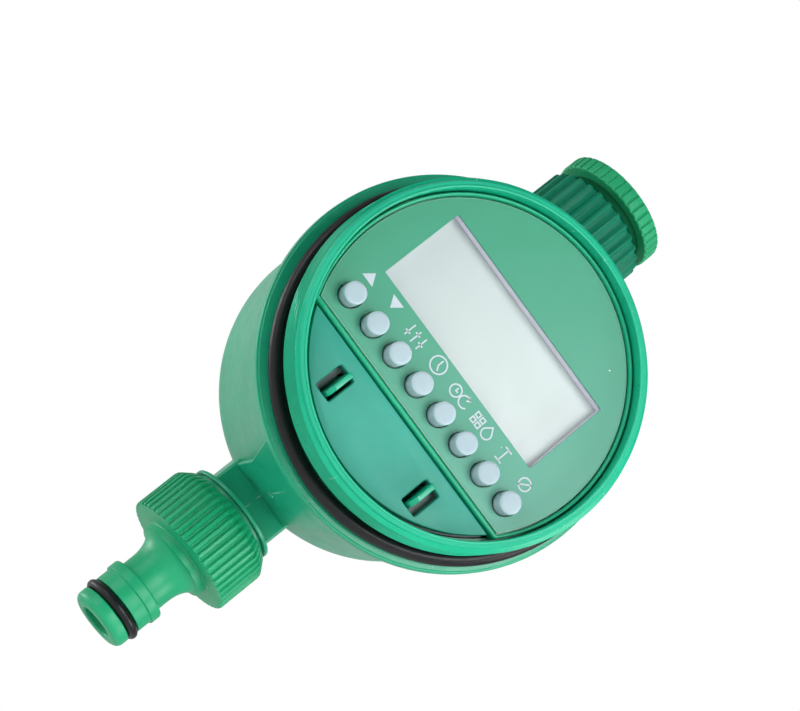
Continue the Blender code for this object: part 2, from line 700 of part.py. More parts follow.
def circuit_board():
    outline = above_chord(BOARD_R, BOARD_CHORD, 25)
    place = (0, 0, FACE_Z)
    low, high = depth(BOARD_FRONT), depth(BOARD_FRONT + BOARD_THICK)
    board = prism("circuit_board", outline, low, high, board_green(), location=place)
    for index, (across, up) in enumerate(POSTS):
        spot = (across, 0, height(up))
        cut(board, drill(f"board_hole_{index}", 1.3, low - 1, high + 1, "Y", spot, 12))
    chip_low = (-16, high - 0.5, height(-8))
    join(board, block("control_chip", chip_low, (-6, high + 1.6, height(2)), black(), helper=True))
    buzzer = [(0, high - 0.5), (4.5, high - 0.5), (4.5, high + 4.5), (0, high + 4.5)]
    join(board, turned("buzzer", buzzer, black(), "Y", (-22.0, 0, height(-8.0)), 20, helper=True))


def board_screws():
    """Screws from behind the board, heads to the back, into the panel's posts."""
    for index, (across, up) in enumerate(POSTS):
        name = f"board_screw_{index + 1}"
        head = depth(BOARD_FRONT + BOARD_THICK) + GAP
        outline = [(0, head + 1.3), (1.4, head + 1.3), (2.2, head + 0.6), (2.2, head)]
        outline += [(0.9, head), (0.9, depth(5.2)), (0, depth(4.9))]
        turned(name, outline, steel(), "Y", (across, 0, height(up)), 12)


def battery_drawer():
    """The lower face plate with two finger slots, and the open tray behind it for two cells."""
    place = (0, 0, FACE_Z)
    outline = below_chord(DRAWER_R, DRAWER_CHORD)
    drawer = prism("battery_drawer", outline, depth(0), depth(DRAWER_THICK), green(), location=place)
    low = (-TRAY_HALF, depth(DRAWER_THICK - 0.5), height(TRAY_FLOOR))
    join(drawer, block("tray", low, (TRAY_HALF, depth(TRAY_END), height(TRAY_TOP)), green(), helper=True))
    inside = TRAY_HALF - 1.2
    low = (-inside, depth(DRAWER_THICK + 0.6), height(TRAY_FLOOR + 0.8))
    high = (inside, depth(TRAY_END + 1), height(TRAY_TOP + 1))
    cut(drawer, block("tray_inside", low, high, green(), helper=True))
    for side in (-1, 1):
        outline = rectangle(side * SLOT_X, SLOT_Z, SLOT_HALF_X, SLOT_HALF_Z)
        tool = prism(f"slot_{side}", outline, depth(-1), depth(4), green(), location=place, helper=True)
        cut(drawer, tool)
        lug_x = sorted((side * (TRAY_HALF - 0.5), side * (LATCH_X - LATCH_HALF - GAP)))
        low = (lug_x[0], depth(LATCH_PIVOT - 1.5), height(SLOT_Z - 2.5))
        high = (lug_x[1], depth(LATCH_PIVOT + 1.5), height(SLOT_Z + 2.5))
        join(drawer, block(f"lug_{side}", low, high, green(), helper=True))


def latch(name, side):
    """A springy arm beside the tray: a thumb tab in the slot and a small catch behind it."""
    half = LATCH_HALF
    front, back = LATCH_FRONT - LATCH_PIVOT, 1.8
    catch = FRAME_BACK + GAP - LATCH_PIVOT
    outline = [(-half, front), (half - 0.4, front), (half, front + 0.5), (half, catch)]
    outline += [(half + 0.45, catch), (half + 0.45, catch + 0.8), (half, catch + 2.2)]
    outline += [(half, back), (-half, back)]
    builder = bmesh.new()
    bottom, top = SLOT_Z - 3.6, SLOT_Z + 3.6
    face = builder.faces.new([builder.verts.new((side * x, y, bottom - SLOT_Z)) for x, y in outline])
    grown = bmesh.ops.extrude_face_region(builder, geom=[face])
    moved = [item for item in grown["geom"] if isinstance(item, bmesh.types.BMVert)]
    bmesh.ops.translate(builder, vec=(0, 0, top - bottom), verts=moved)
    for vert in builder.verts:
        if vert.co.y < front + 0.1 and vert.co.z < 0:
            vert.co.z += 1.3
    finish_object(name, builder, green(), (side * LATCH_X, depth(LATCH_PIVOT), height(SLOT_Z)))


def battery_cells():
    """Two cells side by side, one each way round, as (radius, depth) turned about their own axes."""
    label_r = CELL_R
    for index, (side, start) in enumerate(((-1, 7.2), (1, 4.0))):
        end = start + CELL_LENGTH
        body = [(label_r - 0.3, 0), (label_r, 0.3), (label_r, CELL_LENGTH - 1.2)]
        body += [(label_r - 0.4, CELL_LENGTH - 0.8), (1.9, CELL_LENGTH - 0.8), (1.9, CELL_LENGTH)]
        body = [(0, 0)] + body + [(0, CELL_LENGTH)]
        placed = [(radius, start + along if side < 0 else end - along) for radius, along in body]
        turned(f"battery_{index + 1}", placed, black(), "Y", (side * CELL_X, FACE_Y, height(CELL_Z)), 20)


def coil_spring(name, place, low, high, turns=3):
    """A helper for a tapering coil of wire along Y, as a closed tube."""
    builder = bmesh.new()
    wire, sides, steps = 0.3, 5, 9 * turns
    rings = []
    for step in range(steps + 1):
        share = step / steps
        angle = 2 * math.pi * turns * share
        radius = 2.9 - 0.9 * share
        along = low + (high - low) * share
        centre = Vector((radius * math.cos(angle), along, radius * math.sin(angle)))
        outward = Vector((math.cos(angle), 0, math.sin(angle)))
        ring_verts = []
        for side in range(sides):
            turn = 2 * math.pi * side / sides
            offset = outward * math.cos(turn) * wire + Vector((0, 1, 0)) * math.sin(turn) * wire
            ring_verts.append(builder.verts.new(centre + offset))
        rings.append(ring_verts)
    for first, after in zip(rings, rings[1:]):
        for here in range(sides):
            there = (here + 1) % sides
            builder.faces.new((first[here], first[there], after[there], after[here]))
    builder.faces.new(rings[0])
    builder.faces.new(rings[-1])
    return finish_object(name, builder, steel(), place, helper=True)


def battery_contacts():
    """The bridge plate in the drawer and the plate at the sleeve's end, each with a coil spring."""
    low, high = height(CELL_Z - 4), height(CELL_Z + 4)
    place = (-CELL_X, FACE_Y, height(CELL_Z))
    bridge = block("drawer_contact", (-10.5, depth(3.2), low), (10.5, depth(3.8), high), steel())
    join(bridge, coil_spring("drawer_coil", place, 3.4, 6.9))
    place = (CELL_X, FACE_Y, height(CELL_Z))
    plate = block("sleeve_contact", (-10.5, depth(51.9), low), (10.5, depth(52.5), high), steel())
    join(plate, coil_spring("sleeve_coil", place, 52.3, 48.8))


def battery_sleeve():
    """The grey compartment that the drawer slides into, with a flange behind the face."""
    place = (0, 0, FACE_Z)
    outline = below_chord(INNER_BORE - GAP, SLEEVE_TOP + 0.3)
    sleeve = prism("battery_sleeve", outline, depth(FRAME_FRONT), depth(FRAME_BACK), grey(), location=place)
    low = (-SLEEVE_HALF, depth(FRAME_FRONT + 0.2), height(SLEEVE_FLOOR))
    high = (SLEEVE_HALF, depth(SLEEVE_END), height(SLEEVE_TOP))
    join(sleeve, block("sleeve_box", low, high, grey(), helper=True))
    low = (1.2 - SLEEVE_HALF, depth(FRAME_FRONT - 1), height(SLEEVE_FLOOR + 1.0))
    high = (SLEEVE_HALF - 1.2, depth(SLEEVE_END - 1.2), height(SLEEVE_TOP - 1.2))
    cut(sleeve, block("sleeve_inside", low, high, grey(), helper=True))
    low = (-LATCH_X - 1.35, depth(FRAME_FRONT - 1), height(SLOT_Z - 4.2))
    high = (LATCH_X + 1.35, depth(LATCH_PIVOT + 3.5), height(SLOT_Z + 4.2))
    cut(sleeve, block("latch_window", low, high, grey(), helper=True))


def valve():
    """The ball with its stem, two seats, the stem seal, and the screwed bonnet."""
    place = (0, 0, height(VALVE_Z))
    builder = bmesh.new()
    bmesh.ops.create_uvsphere(builder, u_segments=18, v_segments=10, radius=BALL_R)
    ball = finish_object("valve_ball", builder, white(), place)
    gear_front = LAYERS[0] - LAYER_THICK[0]
    stem = [(0, -BALL_R + 1.5), (STEM_R, -BALL_R + 1.5), (STEM_R, gear_front), (0, gear_front)]
    join(ball, turned("stem", stem, white(), "Y", place, 16, helper=True))
    cut(ball, drill("ball_bore", BALL_BORE, -BALL_R - 2, BALL_R + 2, "X", place, 18))
    for word, side in (("inlet", 1), ("outlet", -1)):
        outline = [(SEAT_BORE, side * 6.9), (SEAT_R, side * 4.8), (SEAT_R, side * SEAT_END)]
        outline.append((SEAT_BORE, side * SEAT_END))
        turned(f"{word}_ball_seat", outline, white(), "Z", place, 24)
    ring("stem_seal", STEM_R + GAP + 0.9, 0.9, rubber(), "Y", (0, TOWER_FRONT + 3.4, height(VALVE_Z)), 16, 6)
    low = (-TOWER_HALF, TOWER_FRONT - GAP - 2.7, height(VALVE_Z - TOWER_HALF))
    high = (TOWER_HALF, TOWER_FRONT - GAP, height(VALVE_Z + TOWER_HALF))
    bonnet = block("valve_bonnet", low, high, grey())
    plug_r, plug_end = CHAMBER_R - GAP, TOWER_FRONT + 5.2
    plug = [(0, low[1] + 1), (plug_r, low[1] + 1), (plug_r, plug_end), (0, plug_end)]
    join(bonnet, turned("bonnet_plug", plug, grey(), "Y", place, 28, helper=True))
    cut(bonnet, drill("stem_hole", STEM_R + GAP, low[1] - 1, 0, "Y", place, 16))
    cut(bonnet, drill("seal_pocket", 5.4, TOWER_FRONT + 2.2, 0, "Y", place, 16))
    for index, (across, up) in enumerate(bonnet_corners()):
        spot = (across, 0, height(up))
        cut(bonnet, drill(f"bonnet_bore_{index}", 1.4, low[1] - 1, TOWER_FRONT + 1, "Y", spot, 8))
        screw(f"bonnet_screw_{index + 1}", 2.3, 1.0, 1.4, 10.0, (across, low[1] - GAP, height(up)))


def toothed(teeth):
    """A gear's outline of (x, z) points, with a tooth centred on angle zero."""
    pitch_r = MODULE * teeth / 2
    tip, root = pitch_r + 0.75 * MODULE, pitch_r - 1.05 * MODULE
    step = 2 * math.pi / teeth
    points = []
    for tooth in range(teeth):
        for radius, share in ((root, -ROOT_SHARE), (tip, -TIP_SHARE), (tip, TIP_SHARE), (root, ROOT_SHARE)):
            angle = step * (tooth + share)
            points.append((radius * math.cos(angle), radius * math.sin(angle)))
    return points


def rotated(points, degrees):
    """Points turned about the gear's centre, counted round from +X towards +Z."""
    cosine, sine = math.cos(math.radians(degrees)), math.sin(math.radians(degrees))
    return [(x * cosine - z * sine, x * sine + z * cosine) for x, z in points]


def layer(number):
    """Front and back Y of one gear layer."""
    return LAYERS[number] - LAYER_THICK[number], LAYERS[number]


def polar(radius, degrees):
    return radius * math.cos(math.radians(degrees)), radius * math.sin(math.radians(degrees))


def gear_places():
    """The (x, z) of the middle wheel, the first wheel and the motor."""
    reach = MODULE * (OUTPUT_TEETH + PINION_TEETH) / 2
    across, up = polar(reach, MIDDLE_ANGLE)
    middle = (across, VALVE_Z + up)
    reach = MODULE * (WHEEL_TEETH + PINION_TEETH) / 2
    across, up = polar(reach, FIRST_ANGLE)
    first = (middle[0] + across, middle[1] + up)
    reach = MODULE * (WHEEL_TEETH + MOTOR_TEETH) / 2
    across, up = polar(reach, MOTOR_ANGLE)
    return middle, first, (first[0] + across, first[1] + up)


def meshed(driver_phase, driver_teeth, teeth, direction):
    """The phase in degrees that puts a gap of the driven gear opposite a tooth of its partner."""
    tooth_offset = (direction - driver_phase) * driver_teeth / 360.0
    return direction + 180.0 + (tooth_offset + 0.5) * 360.0 / teeth


def compound_gear(name, spot, pinion_phase, pinion_layer, wheel_layer):
    """A wheel and a smaller pinion moulded as one, on a plain bore."""
    place = (spot[0], 0, height(spot[1]))
    wheel = rotated(toothed(WHEEL_TEETH), pinion_phase)
    front, back = layer(wheel_layer)
    gear = prism(name, wheel, front, back, white(), location=place)
    pinion = rotated(toothed(PINION_TEETH), pinion_phase)
    ends = (LAYERS[wheel_layer] - 0.5, LAYERS[pinion_layer])
    join(gear, prism(f"{name}_pinion", pinion, *ends, white(), location=place, helper=True))
    cut(gear, drill(f"{name}_bore", GEAR_PIN_R + 0.15, FRONT_PLATE - 2, REAR_PLATE + 2, "Y", place, 14))


def gear_train():
    middle, first, motor = gear_places()
    place = (0, 0, height(VALVE_Z))
    front, back = layer(0)
    output = prism("output_gear", toothed(OUTPUT_TEETH), front, back, white(), location=place)
    cut(output, drill("output_bore", STEM_R + GAP, front - 1, back + 1, "Y", place, 20))
    middle_phase = meshed(0.0, OUTPUT_TEETH, PINION_TEETH, MIDDLE_ANGLE)
    compound_gear("middle_gear", middle, middle_phase, 0, 1)
    first_phase = meshed(middle_phase, WHEEL_TEETH, PINION_TEETH, FIRST_ANGLE)
    compound_gear("first_gear", first, first_phase, 1, 2)
    motor_phase = meshed(first_phase, WHEEL_TEETH, MOTOR_TEETH, MOTOR_ANGLE)
    place = (motor[0], 0, height(motor[1]))
    front, back = layer(2)
    teeth = rotated(toothed(MOTOR_TEETH), motor_phase)
    pinion = prism("motor_pinion", teeth, front, back, steel(), location=place)
    shaft_front = FRONT_PLATE - PLATE_THICK - 1.0
    shaft = [(0, front + 0.5), (1.0, front + 0.5), (1.0, shaft_front), (0, shaft_front)]
    join(pinion, turned("motor_shaft", shaft, steel(), "Y", place, 12, helper=True))


def gear_plates():
    """The two plates of the gearbox, the front one with spacer posts, and its long screws."""
    middle, first, motor = gear_places()
    place = (0, 0, FACE_Z)
    outline = [(-23, -9), (23, -9), (24.5, -5), (24.5, 28.5), (20.5, 33), (-18, 33), (-23, 28)]
    rear_front = REAR_PLATE - PLATE_THICK
    rear = prism("gearbox_rear_plate", outline, rear_front, REAR_PLATE, grey(), location=place)
    front_front = FRONT_PLATE - PLATE_THICK
    front = prism("gearbox_front_plate", outline, front_front, FRONT_PLATE, grey(), location=place)
    valve_place = (0, 0, height(VALVE_Z))
    cut(rear, drill("stem_way", STEM_R + 0.6, rear_front - 1, REAR_PLATE + 1, "Y", valve_place, 20))
    motor_place = (motor[0], 0, height(motor[1]))
    cut(front, drill("shaft_way", 1.6, front_front - 1, FRONT_PLATE + 1, "Y", motor_place, 12))
    for word, spot in (("middle", middle), ("first", first)):
        pin_place = (spot[0], 0, height(spot[1]))
        pin = [(0, FRONT_PLATE - 1.0), (GEAR_PIN_R, FRONT_PLATE - 1.0), (GEAR_PIN_R, REAR_PLATE - 0.6)]
        pin.append((0, REAR_PLATE - 0.6))
        join(rear, turned(f"{word}_gear_pin", pin, steel(), "Y", pin_place, 14, helper=True))
        hole = (f"front_{word}_hole", GEAR_PIN_R + GAP, front_front - 1, FRONT_PLATE + 1)
        cut(front, drill(*hole, "Y", pin_place, 14))
    for index, (across, up) in enumerate(PLATE_POSTS):
        spot = (across, 0, height(up))
        start, end = FRONT_PLATE - 0.5, rear_front - GAP
        post = [(0, start), (2.7, start), (2.7, end), (0, end)]
        join(front, turned(f"spacer_{index}", post, grey(), "Y", spot, 10, helper=True))
    for index, (across, up) in enumerate(PLATE_POSTS[:2]):
        spot = (across, 0, height(up))
        cut(front, drill(f"front_screw_way_{index}", 1.7, front_front - 1, REAR_PLATE, "Y", spot, 8))
        cut(rear, drill(f"rear_screw_way_{index}", 1.7, rear_front - 1, REAR_PLATE + 1, "Y", spot, 8))
        screw(f"gearbox_screw_{index + 1}", 2.8, 1.3, 1.8, 26.0, (across, front_front - GAP, height(up)))


def motor():
    """A small can motor with two flats, its nose against the front plate."""
    spot = gear_places()[2]
    low = FRONT_PLATE - PLATE_THICK - GAP
    end = low - MOTOR_LENGTH
    outline = [(0, end), (MOTOR_R - 0.8, end), (MOTOR_R, end + 0.8), (MOTOR_R, low), (0, low)]
    place = (spot[0], 0, height(spot[1]))
    can = turned("motor_can", outline, steel(), "Y", place, 28)
    for side in (-1, 1):
        zs = sorted((spot[1] + side * MOTOR_FLAT, spot[1] + side * (MOTOR_R + 2)))
        low_corner = (spot[0] - 10, low - MOTOR_LENGTH - 1, height(zs[0]))
        high_corner = (spot[0] + 10, low + 1, height(zs[1]))
        cut(can, block(f"motor_flat_{side}", low_corner, high_corner, steel(), helper=True))
    cut(can, drill("shaft_clearance", 1.5, low - 1.6, low + 1, "Y", place, 12))


def smooth_route(points, steps=3):
    """Points on a smooth curve through the given ones."""
    ends = [points[0]] + points + [points[-1]]
    route = []
    for first, start, end, last in zip(ends, ends[1:], ends[2:], ends[3:]):
        for step in range(steps):
            t = step / steps
            before, after = Vector(end) - Vector(first), Vector(last) - Vector(start)
            place = Vector(start) * (2 * t**3 - 3 * t**2 + 1) + Vector(end) * (3 * t**2 - 2 * t**3)
            place += before * 0.5 * (t**3 - 2 * t**2 + t) + after * 0.5 * (t**3 - t**2)
            route.append(place)
    route.append(Vector(points[-1]))
    return route


def lead(name, points, material):
    """One insulated wire as a round tube along a smooth route."""
    curve = bpy.data.curves.new(name, "CURVE")
    curve.dimensions = "3D"
    curve.bevel_depth = 0.6 * MM
    curve.bevel_resolution = 1
    curve.use_fill_caps = True
    spline = curve.splines.new("POLY")
    route = smooth_route(points)
    spline.points.add(len(route) - 1)
    for point, place in zip(spline.points, route):
        point.co = (*(place * MM), 1.0)
    curve.materials.append(material)
    bpy.context.scene.collection.objects.link(bpy.data.objects.new(name, curve))


def leads():
    """Two wires from the motor to the board, and two from the battery sleeve to the board."""
    spot = gear_places()[2]
    motor_front = FRONT_PLATE - PLATE_THICK - MOTOR_LENGTH - 4 * GAP
    board_back = depth(BOARD_FRONT + BOARD_THICK) + 3 * GAP
    for name, side, material in (("motor_lead_red", -1, red()), ("motor_lead_black", 1, black())):
        start = (spot[0] + side * 3, motor_front, height(spot[1]))
        bend = (spot[0] + side * 4, motor_front - 1.7, height(spot[1] - 4))
        end = (spot[0] + side * 5, board_back, height(spot[1] - 9))
        lead(name, [start, bend, end], material)
    for name, side, material in (("battery_lead_red", -1, red()), ("battery_lead_black", 1, black())):
        points = [(15.4, -17.0, -27.0), (19.5, -20.0, -22.0), (25.0, -30.0, -17.5), (28.0, -42.0, -16.0)]
        points.append((28.0, board_back, -15.0))
        route = [(side * x, y, height(z)) for x, y, z in points]
        lead(name, route, material)


def main():
    clear_scene()
    housing()
    seal_place = (0, depth(FLANGE_FRONT - GAP - SEAL_CORD_R), FACE_Z)
    ring("cover_seal", SEAL_R, SEAL_CORD_R, rubber(), "Y", seal_place, 44, 6)
    control_panel()
    display()
    buttons()
    circuit_board()
    board_screws()
    battery_drawer()
    latch("latch_left", -1)
    latch("latch_right", 1)
    battery_cells()
    battery_contacts()
    battery_sleeve()
    valve()
    gear_train()
    gear_plates()
    motor()
    leads()
    outlet_connector()
    inlet_parts()


main()
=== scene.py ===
import math

import bmesh
import bpy
from mathutils import Matrix, Vector


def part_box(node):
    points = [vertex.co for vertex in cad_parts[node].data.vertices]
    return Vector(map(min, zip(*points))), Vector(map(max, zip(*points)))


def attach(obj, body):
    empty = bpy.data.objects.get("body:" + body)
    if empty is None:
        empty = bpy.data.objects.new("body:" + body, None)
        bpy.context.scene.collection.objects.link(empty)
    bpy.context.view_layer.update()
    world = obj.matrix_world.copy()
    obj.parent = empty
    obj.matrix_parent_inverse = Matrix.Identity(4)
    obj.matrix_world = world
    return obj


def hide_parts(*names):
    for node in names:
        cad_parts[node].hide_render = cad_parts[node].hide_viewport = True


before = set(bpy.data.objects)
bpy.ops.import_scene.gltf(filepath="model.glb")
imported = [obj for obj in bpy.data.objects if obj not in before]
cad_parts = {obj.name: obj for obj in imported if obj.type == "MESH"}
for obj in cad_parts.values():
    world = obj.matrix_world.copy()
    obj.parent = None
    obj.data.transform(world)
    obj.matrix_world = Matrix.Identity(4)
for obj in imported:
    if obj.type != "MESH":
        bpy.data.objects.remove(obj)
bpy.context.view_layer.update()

# Lengths here are in millimetres and are turned into metres when a mesh is made.
MM = 0.001

# The face's plane along Y and its centre along Z. The pipe's axis runs up through X = Y = 0.
FACE_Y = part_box("panel_overlay")[0].y / MM
SEAL_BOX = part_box("cover_seal")
FACE_Z = (SEAL_BOX[0].z + SEAL_BOX[1].z) / 2 / MM
FACE_AXIS = (0, FACE_Y, FACE_Z)
PIPE = (0, 0, FACE_Z)

# Points round a large turning, and the width of the mould's parting line.
STEPS = 240
PARTING = 0.14
DUST = (0.75, 0.8, 0.8, 1.0)
# The flash's pale colour is partly painted: the line of flash is real, its paleness is a painted
# highlight on its thin ridge.
FLASH_HIGHLIGHT = (0.6, 0.85, 0.75, 1.0)


def depth(value):
    return FACE_Y + value


def height(value):
    return FACE_Z + value


# ---- materials


class Nodes:
    """A small wrapper that adds shader nodes and links them in one call."""

    def __init__(self, name):
        self.material = bpy.data.materials.new(name)
        self.material.use_nodes = True
        self.tree = self.material.node_tree
        self.shader = self.tree.nodes["Principled BSDF"]
        self.place = self.add("ShaderNodeTexCoord").outputs["Object"]

    def add(self, kind, values=(), **settings):
        node = self.tree.nodes.new(kind)
        for key, value in settings.items():
            setattr(node, key, value)
        for socket, value in dict(values).items():
            self.set(node.inputs[socket], value)
        return node

    def set(self, socket, value):
        if isinstance(value, bpy.types.NodeSocket):
            self.tree.links.new(value, socket)
        else:
            socket.default_value = value

    def surface(self, name, value):
        """Sets one of the shader's own inputs."""
        self.set(self.shader.inputs[name], value)

    def noise(self, scale, detail=3.0, roughness=0.55):
        values = {"Vector": self.place, "Scale": scale, "Detail": detail, "Roughness": roughness}
        return self.add("ShaderNodeTexNoise", values).outputs["Fac"]

    def along(self, axis):
        return self.add("ShaderNodeSeparateXYZ", {0: self.place}).outputs[axis]

    def math(self, operation, first, second=0.0):
        return self.add("ShaderNodeMath", {0: first, 1: second}, operation=operation).outputs[0]

    def remap(self, value, low, high, out_low=0.0, out_high=1.0):
        values = {"Value": value, 1: low, 2: high, 3: out_low, 4: out_high}
        return self.add("ShaderNodeMapRange", values, clamp=True).outputs["Result"]

    def spread(self, noise, low=0.0, high=1.0):
        """Stretches the middle of a noise's range from low to high."""
        return self.remap(noise, 0.3, 0.7, low, high)

    def blend(self, factor, first, second):
        values = {0: factor, 6: first, 7: second}
        return self.add("ShaderNodeMix", values, data_type="RGBA").outputs[2]

    def bump(self, value, strength, distance, before=None):
        values = {"Height": value, "Strength": strength, "Distance": distance}
        if before is not None:
            values["Normal"] = before
        return self.add("ShaderNodeBump", values).outputs["Normal"]

    def specks(self, scale, size, share, strength=1.0):
        """Small round specks, one in each cell whose colour is above the share."""
        cells = self.add("ShaderNodeTexVoronoi", {"Vector": self.place, "Scale": scale})
        near = self.remap(cells.outputs["Distance"], size * 0.6, size, strength, 0.0)
        bright = self.add("ShaderNodeSeparateColor", {0: cells.outputs["Color"]}).outputs[0]
        return self.math("MULTIPLY", near, self.math("GREATER_THAN", bright, share))


def rgb(red, green, blue):
    """A linear colour from 0-255 display values."""
    channels = []
    for value in (red, green, blue):
        share = value / 255
        channels.append(share / 12.92 if share <= 0.04045 else ((share + 0.055) / 1.055) ** 2.4)
    return (*channels, 1.0)


def scaled(colour, factor, lift=0.0):
    """A linear colour made darker or paler."""
    return tuple(min(1.0, channel * factor + lift) for channel in colour[:3]) + (1.0,)


def parting_line(nodes):
    """The broken line of flash where the mould's halves met, on the object's middle plane."""
    across = nodes.math("ABSOLUTE", nodes.along("X"))
    line = nodes.remap(across, 0.5 * PARTING * MM, PARTING * MM, 0.6, 0.0)
    return nodes.math("MULTIPLY", line, nodes.remap(nodes.noise(260.0, 3.0), 0.48, 0.68))


def moulded(name, colour, roughness, grain=0.02, vary=0.10, dust=0.0, parting=False,
            specular=0.4, soft=0.0):
    """Moulded plastic: a cloudy colour, fine grain, uneven gloss, dust and a parting line whose
    flash is painted paler as a highlight.
    """
    nodes = Nodes(name)
    base = rgb(*colour)
    darker, paler = scaled(base, 1 - vary), scaled(base, 1 + vary, 0.006)
    result = nodes.blend(nodes.spread(nodes.noise(38.0, 4.0)), darker, paler)
    streak = nodes.remap(nodes.noise(420.0, 2.0), 0.62, 0.75, 0.0, 0.10)
    result = nodes.blend(streak, result, paler)
    if dust:
        result = nodes.blend(nodes.specks(520.0, 0.11, 1 - dust, 0.75), result, DUST)
    if parting:
        # The real flash line is blended to a paler colour, a painted highlight along its ridge.
        result = nodes.blend(parting_line(nodes), result, FLASH_HIGHLIGHT)
    nodes.surface("Base Color", result)
    gloss = nodes.spread(nodes.noise(150.0, 5.0, 0.7), roughness - 0.05, roughness + 0.07)
    nodes.surface("Roughness", gloss)
    fine = nodes.bump(nodes.noise(5200.0, 2.0), grain, 0.0002)
    nodes.surface("Normal", nodes.bump(nodes.noise(110.0, 2.0), 0.05, 0.0008, fine))
    nodes.surface("Specular IOR Level", specular)
    if soft:
        nodes.surface("Subsurface Weight", 1.0)
        nodes.surface("Subsurface Radius", (1.0, 1.0, 1.0))
        nodes.surface("Subsurface Scale", soft)
    return nodes.material


def rubber(name, colour=(11, 12, 14), dust=0.06, roughness=0.38):
    """Moulded rubber with a matt grain, a dusty bloom and caught specks."""
    nodes = Nodes(name)
    bloom = nodes.remap(nodes.noise(60.0, 5.0, 0.65), 0.35, 0.75, 0.0, 0.12)
    result = nodes.blend(bloom, rgb(*colour), rgb(66, 68, 72))
    result = nodes.blend(nodes.specks(480.0, 0.13, 1 - dust, 0.8), result, rgb(190, 195, 195))
    nodes.surface("Base Color", result)
    nodes.surface("Roughness", nodes.spread(nodes.noise(240.0), roughness - 0.06, roughness + 0.1))
    nodes.surface("Normal", nodes.bump(nodes.noise(2600.0, 3.0), 0.12, 0.0003))
    nodes.surface("Specular IOR Level", 0.3)
    return nodes.material


def metal(name, colour=(196, 198, 202), roughness=0.28):
    """Plated or turned metal with stains and fine scratches that run along Y."""
    nodes = Nodes(name)
    values = {"Vector": nodes.place, "Scale": (1.0, 0.06, 1.0)}
    stretched = nodes.add("ShaderNodeMapping", values).outputs[0]
    values = {"Vector": stretched, "Scale": 1800.0, "Detail": 3.0}
    lines = nodes.add("ShaderNodeTexNoise", values).outputs["Fac"]
    stain = nodes.remap(nodes.noise(90.0, 5.0), 0.35, 0.75, 0.0, 0.25)
    base = rgb(*colour)
    nodes.surface("Base Color", nodes.blend(stain, base, scaled(base, 0.62)))
    nodes.surface("Roughness", nodes.spread(lines, roughness - 0.06, roughness + 0.14))
    nodes.surface("Normal", nodes.bump(lines, 0.08, 0.0001))
    nodes.surface("Metallic", 1.0)
    return nodes.material


def painted_sheen_to_lower_right(nodes, tilt, low, high):
    """Rises from nought at the face's upper left to one at its lower right: the mask of a painted
    sheen.
    """
    up = nodes.math("MULTIPLY", nodes.along("Z"), tilt)
    return nodes.remap(nodes.math("SUBTRACT", nodes.along("X"), up), low, high)


def film_material():
    """The matt printed film: a little cloudy, with a painted sheen that makes it paler and bluer to
    the lower right, and a fine tooth.
    """
    nodes = Nodes("printed_film")
    # Painted sheen: the colour grows paler and bluer towards the lower right, where the lamps'
    # light falls on the film.
    across = painted_sheen_to_lower_right(nodes, 0.6, 0.02, 0.11)
    result = nodes.blend(across, rgb(44, 144, 112), rgb(94, 162, 144))
    cloud = nodes.spread(nodes.noise(70.0, 5.0), 0.0, 0.03)
    result = nodes.blend(cloud, result, rgb(130, 190, 160))
    result = nodes.blend(nodes.specks(420.0, 0.10, 0.985, 0.8), result, (0.8, 0.85, 0.83, 1.0))
    nodes.surface("Base Color", result)
    nodes.surface("Roughness", nodes.spread(nodes.noise(160.0, 4.0), 0.50, 0.53))
    nodes.surface("Normal", nodes.bump(nodes.noise(4200.0, 2.0), 0.06, 0.0002))
    return nodes.material


def display_material():
    """A blank display: silvery grey-green, with a painted sheen that makes it paler to the lower
    right, a fine sparkle and a faint painted glow.
    """
    nodes = Nodes("display_glass")
    # Painted sheen: paler towards the lower right, where the lamps light the display.
    across = painted_sheen_to_lower_right(nodes, 0.8, 0.025, 0.10)
    result = nodes.blend(across, rgb(165, 179, 178), rgb(190, 203, 201))
    sparkle = nodes.spread(nodes.noise(3600.0, 1.0), 0.0, 0.12)
    result = nodes.blend(sparkle, result, rgb(150, 165, 160))
    result = nodes.blend(nodes.specks(300.0, 0.07, 0.985), result, (0.95, 0.95, 0.95, 1.0))
    nodes.surface("Base Color", result)
    nodes.surface("Roughness", nodes.spread(nodes.noise(90.0), 0.3, 0.42))
    nodes.surface("Normal", nodes.bump(nodes.noise(3000.0, 1.0), 0.02, 0.0001))
    # Painted glow: the display gives off a little light of its own colour, which lightens the shade
    # cast by its walls.
    nodes.surface("Emission Color", result)
    nodes.surface("Emission Strength", 0.05)
    return nodes.material


def board_material():
    """Solder mask over copper tracks: a fine maze of paler lines and plated pads."""
    nodes = Nodes("solder_mask")
    values = {"Vector": nodes.place, "Scale": 420.0}
    settings = {"distance": "CHEBYCHEV", "feature": "DISTANCE_TO_EDGE"}
    cells = nodes.add("ShaderNodeTexVoronoi", values, **settings)
    tracks = nodes.remap(cells.outputs["Distance"], 0.05, 0.12, 1.0, 0.0)
    half = nodes.math("MULTIPLY", tracks, 0.5)
    result = nodes.blend(half, rgb(14, 84, 48), rgb(40, 130, 76))
    result = nodes.blend(nodes.specks(700.0, 0.2, 0.86), result, rgb(200, 190, 150))
    nodes.surface("Base Color", result)
    nodes.surface("Roughness", nodes.spread(nodes.noise(200.0), 0.25, 0.4))
    nodes.surface("Normal", nodes.bump(tracks, 0.3, 0.0001))
    return nodes.material


def window_material():
    """The thin clear window over the display, nearly invisible but for its gloss."""
    nodes = Nodes("clear_window")
    nodes.surface("Alpha", nodes.remap(nodes.noise(50.0, 5.0), 0.4, 0.8, 0.03, 0.07))
    nodes.surface("Roughness", nodes.spread(nodes.noise(220.0), 0.12, 0.3))
    nodes.surface("Base Color", (0.9, 0.95, 0.95, 1.0))
    return nodes.material


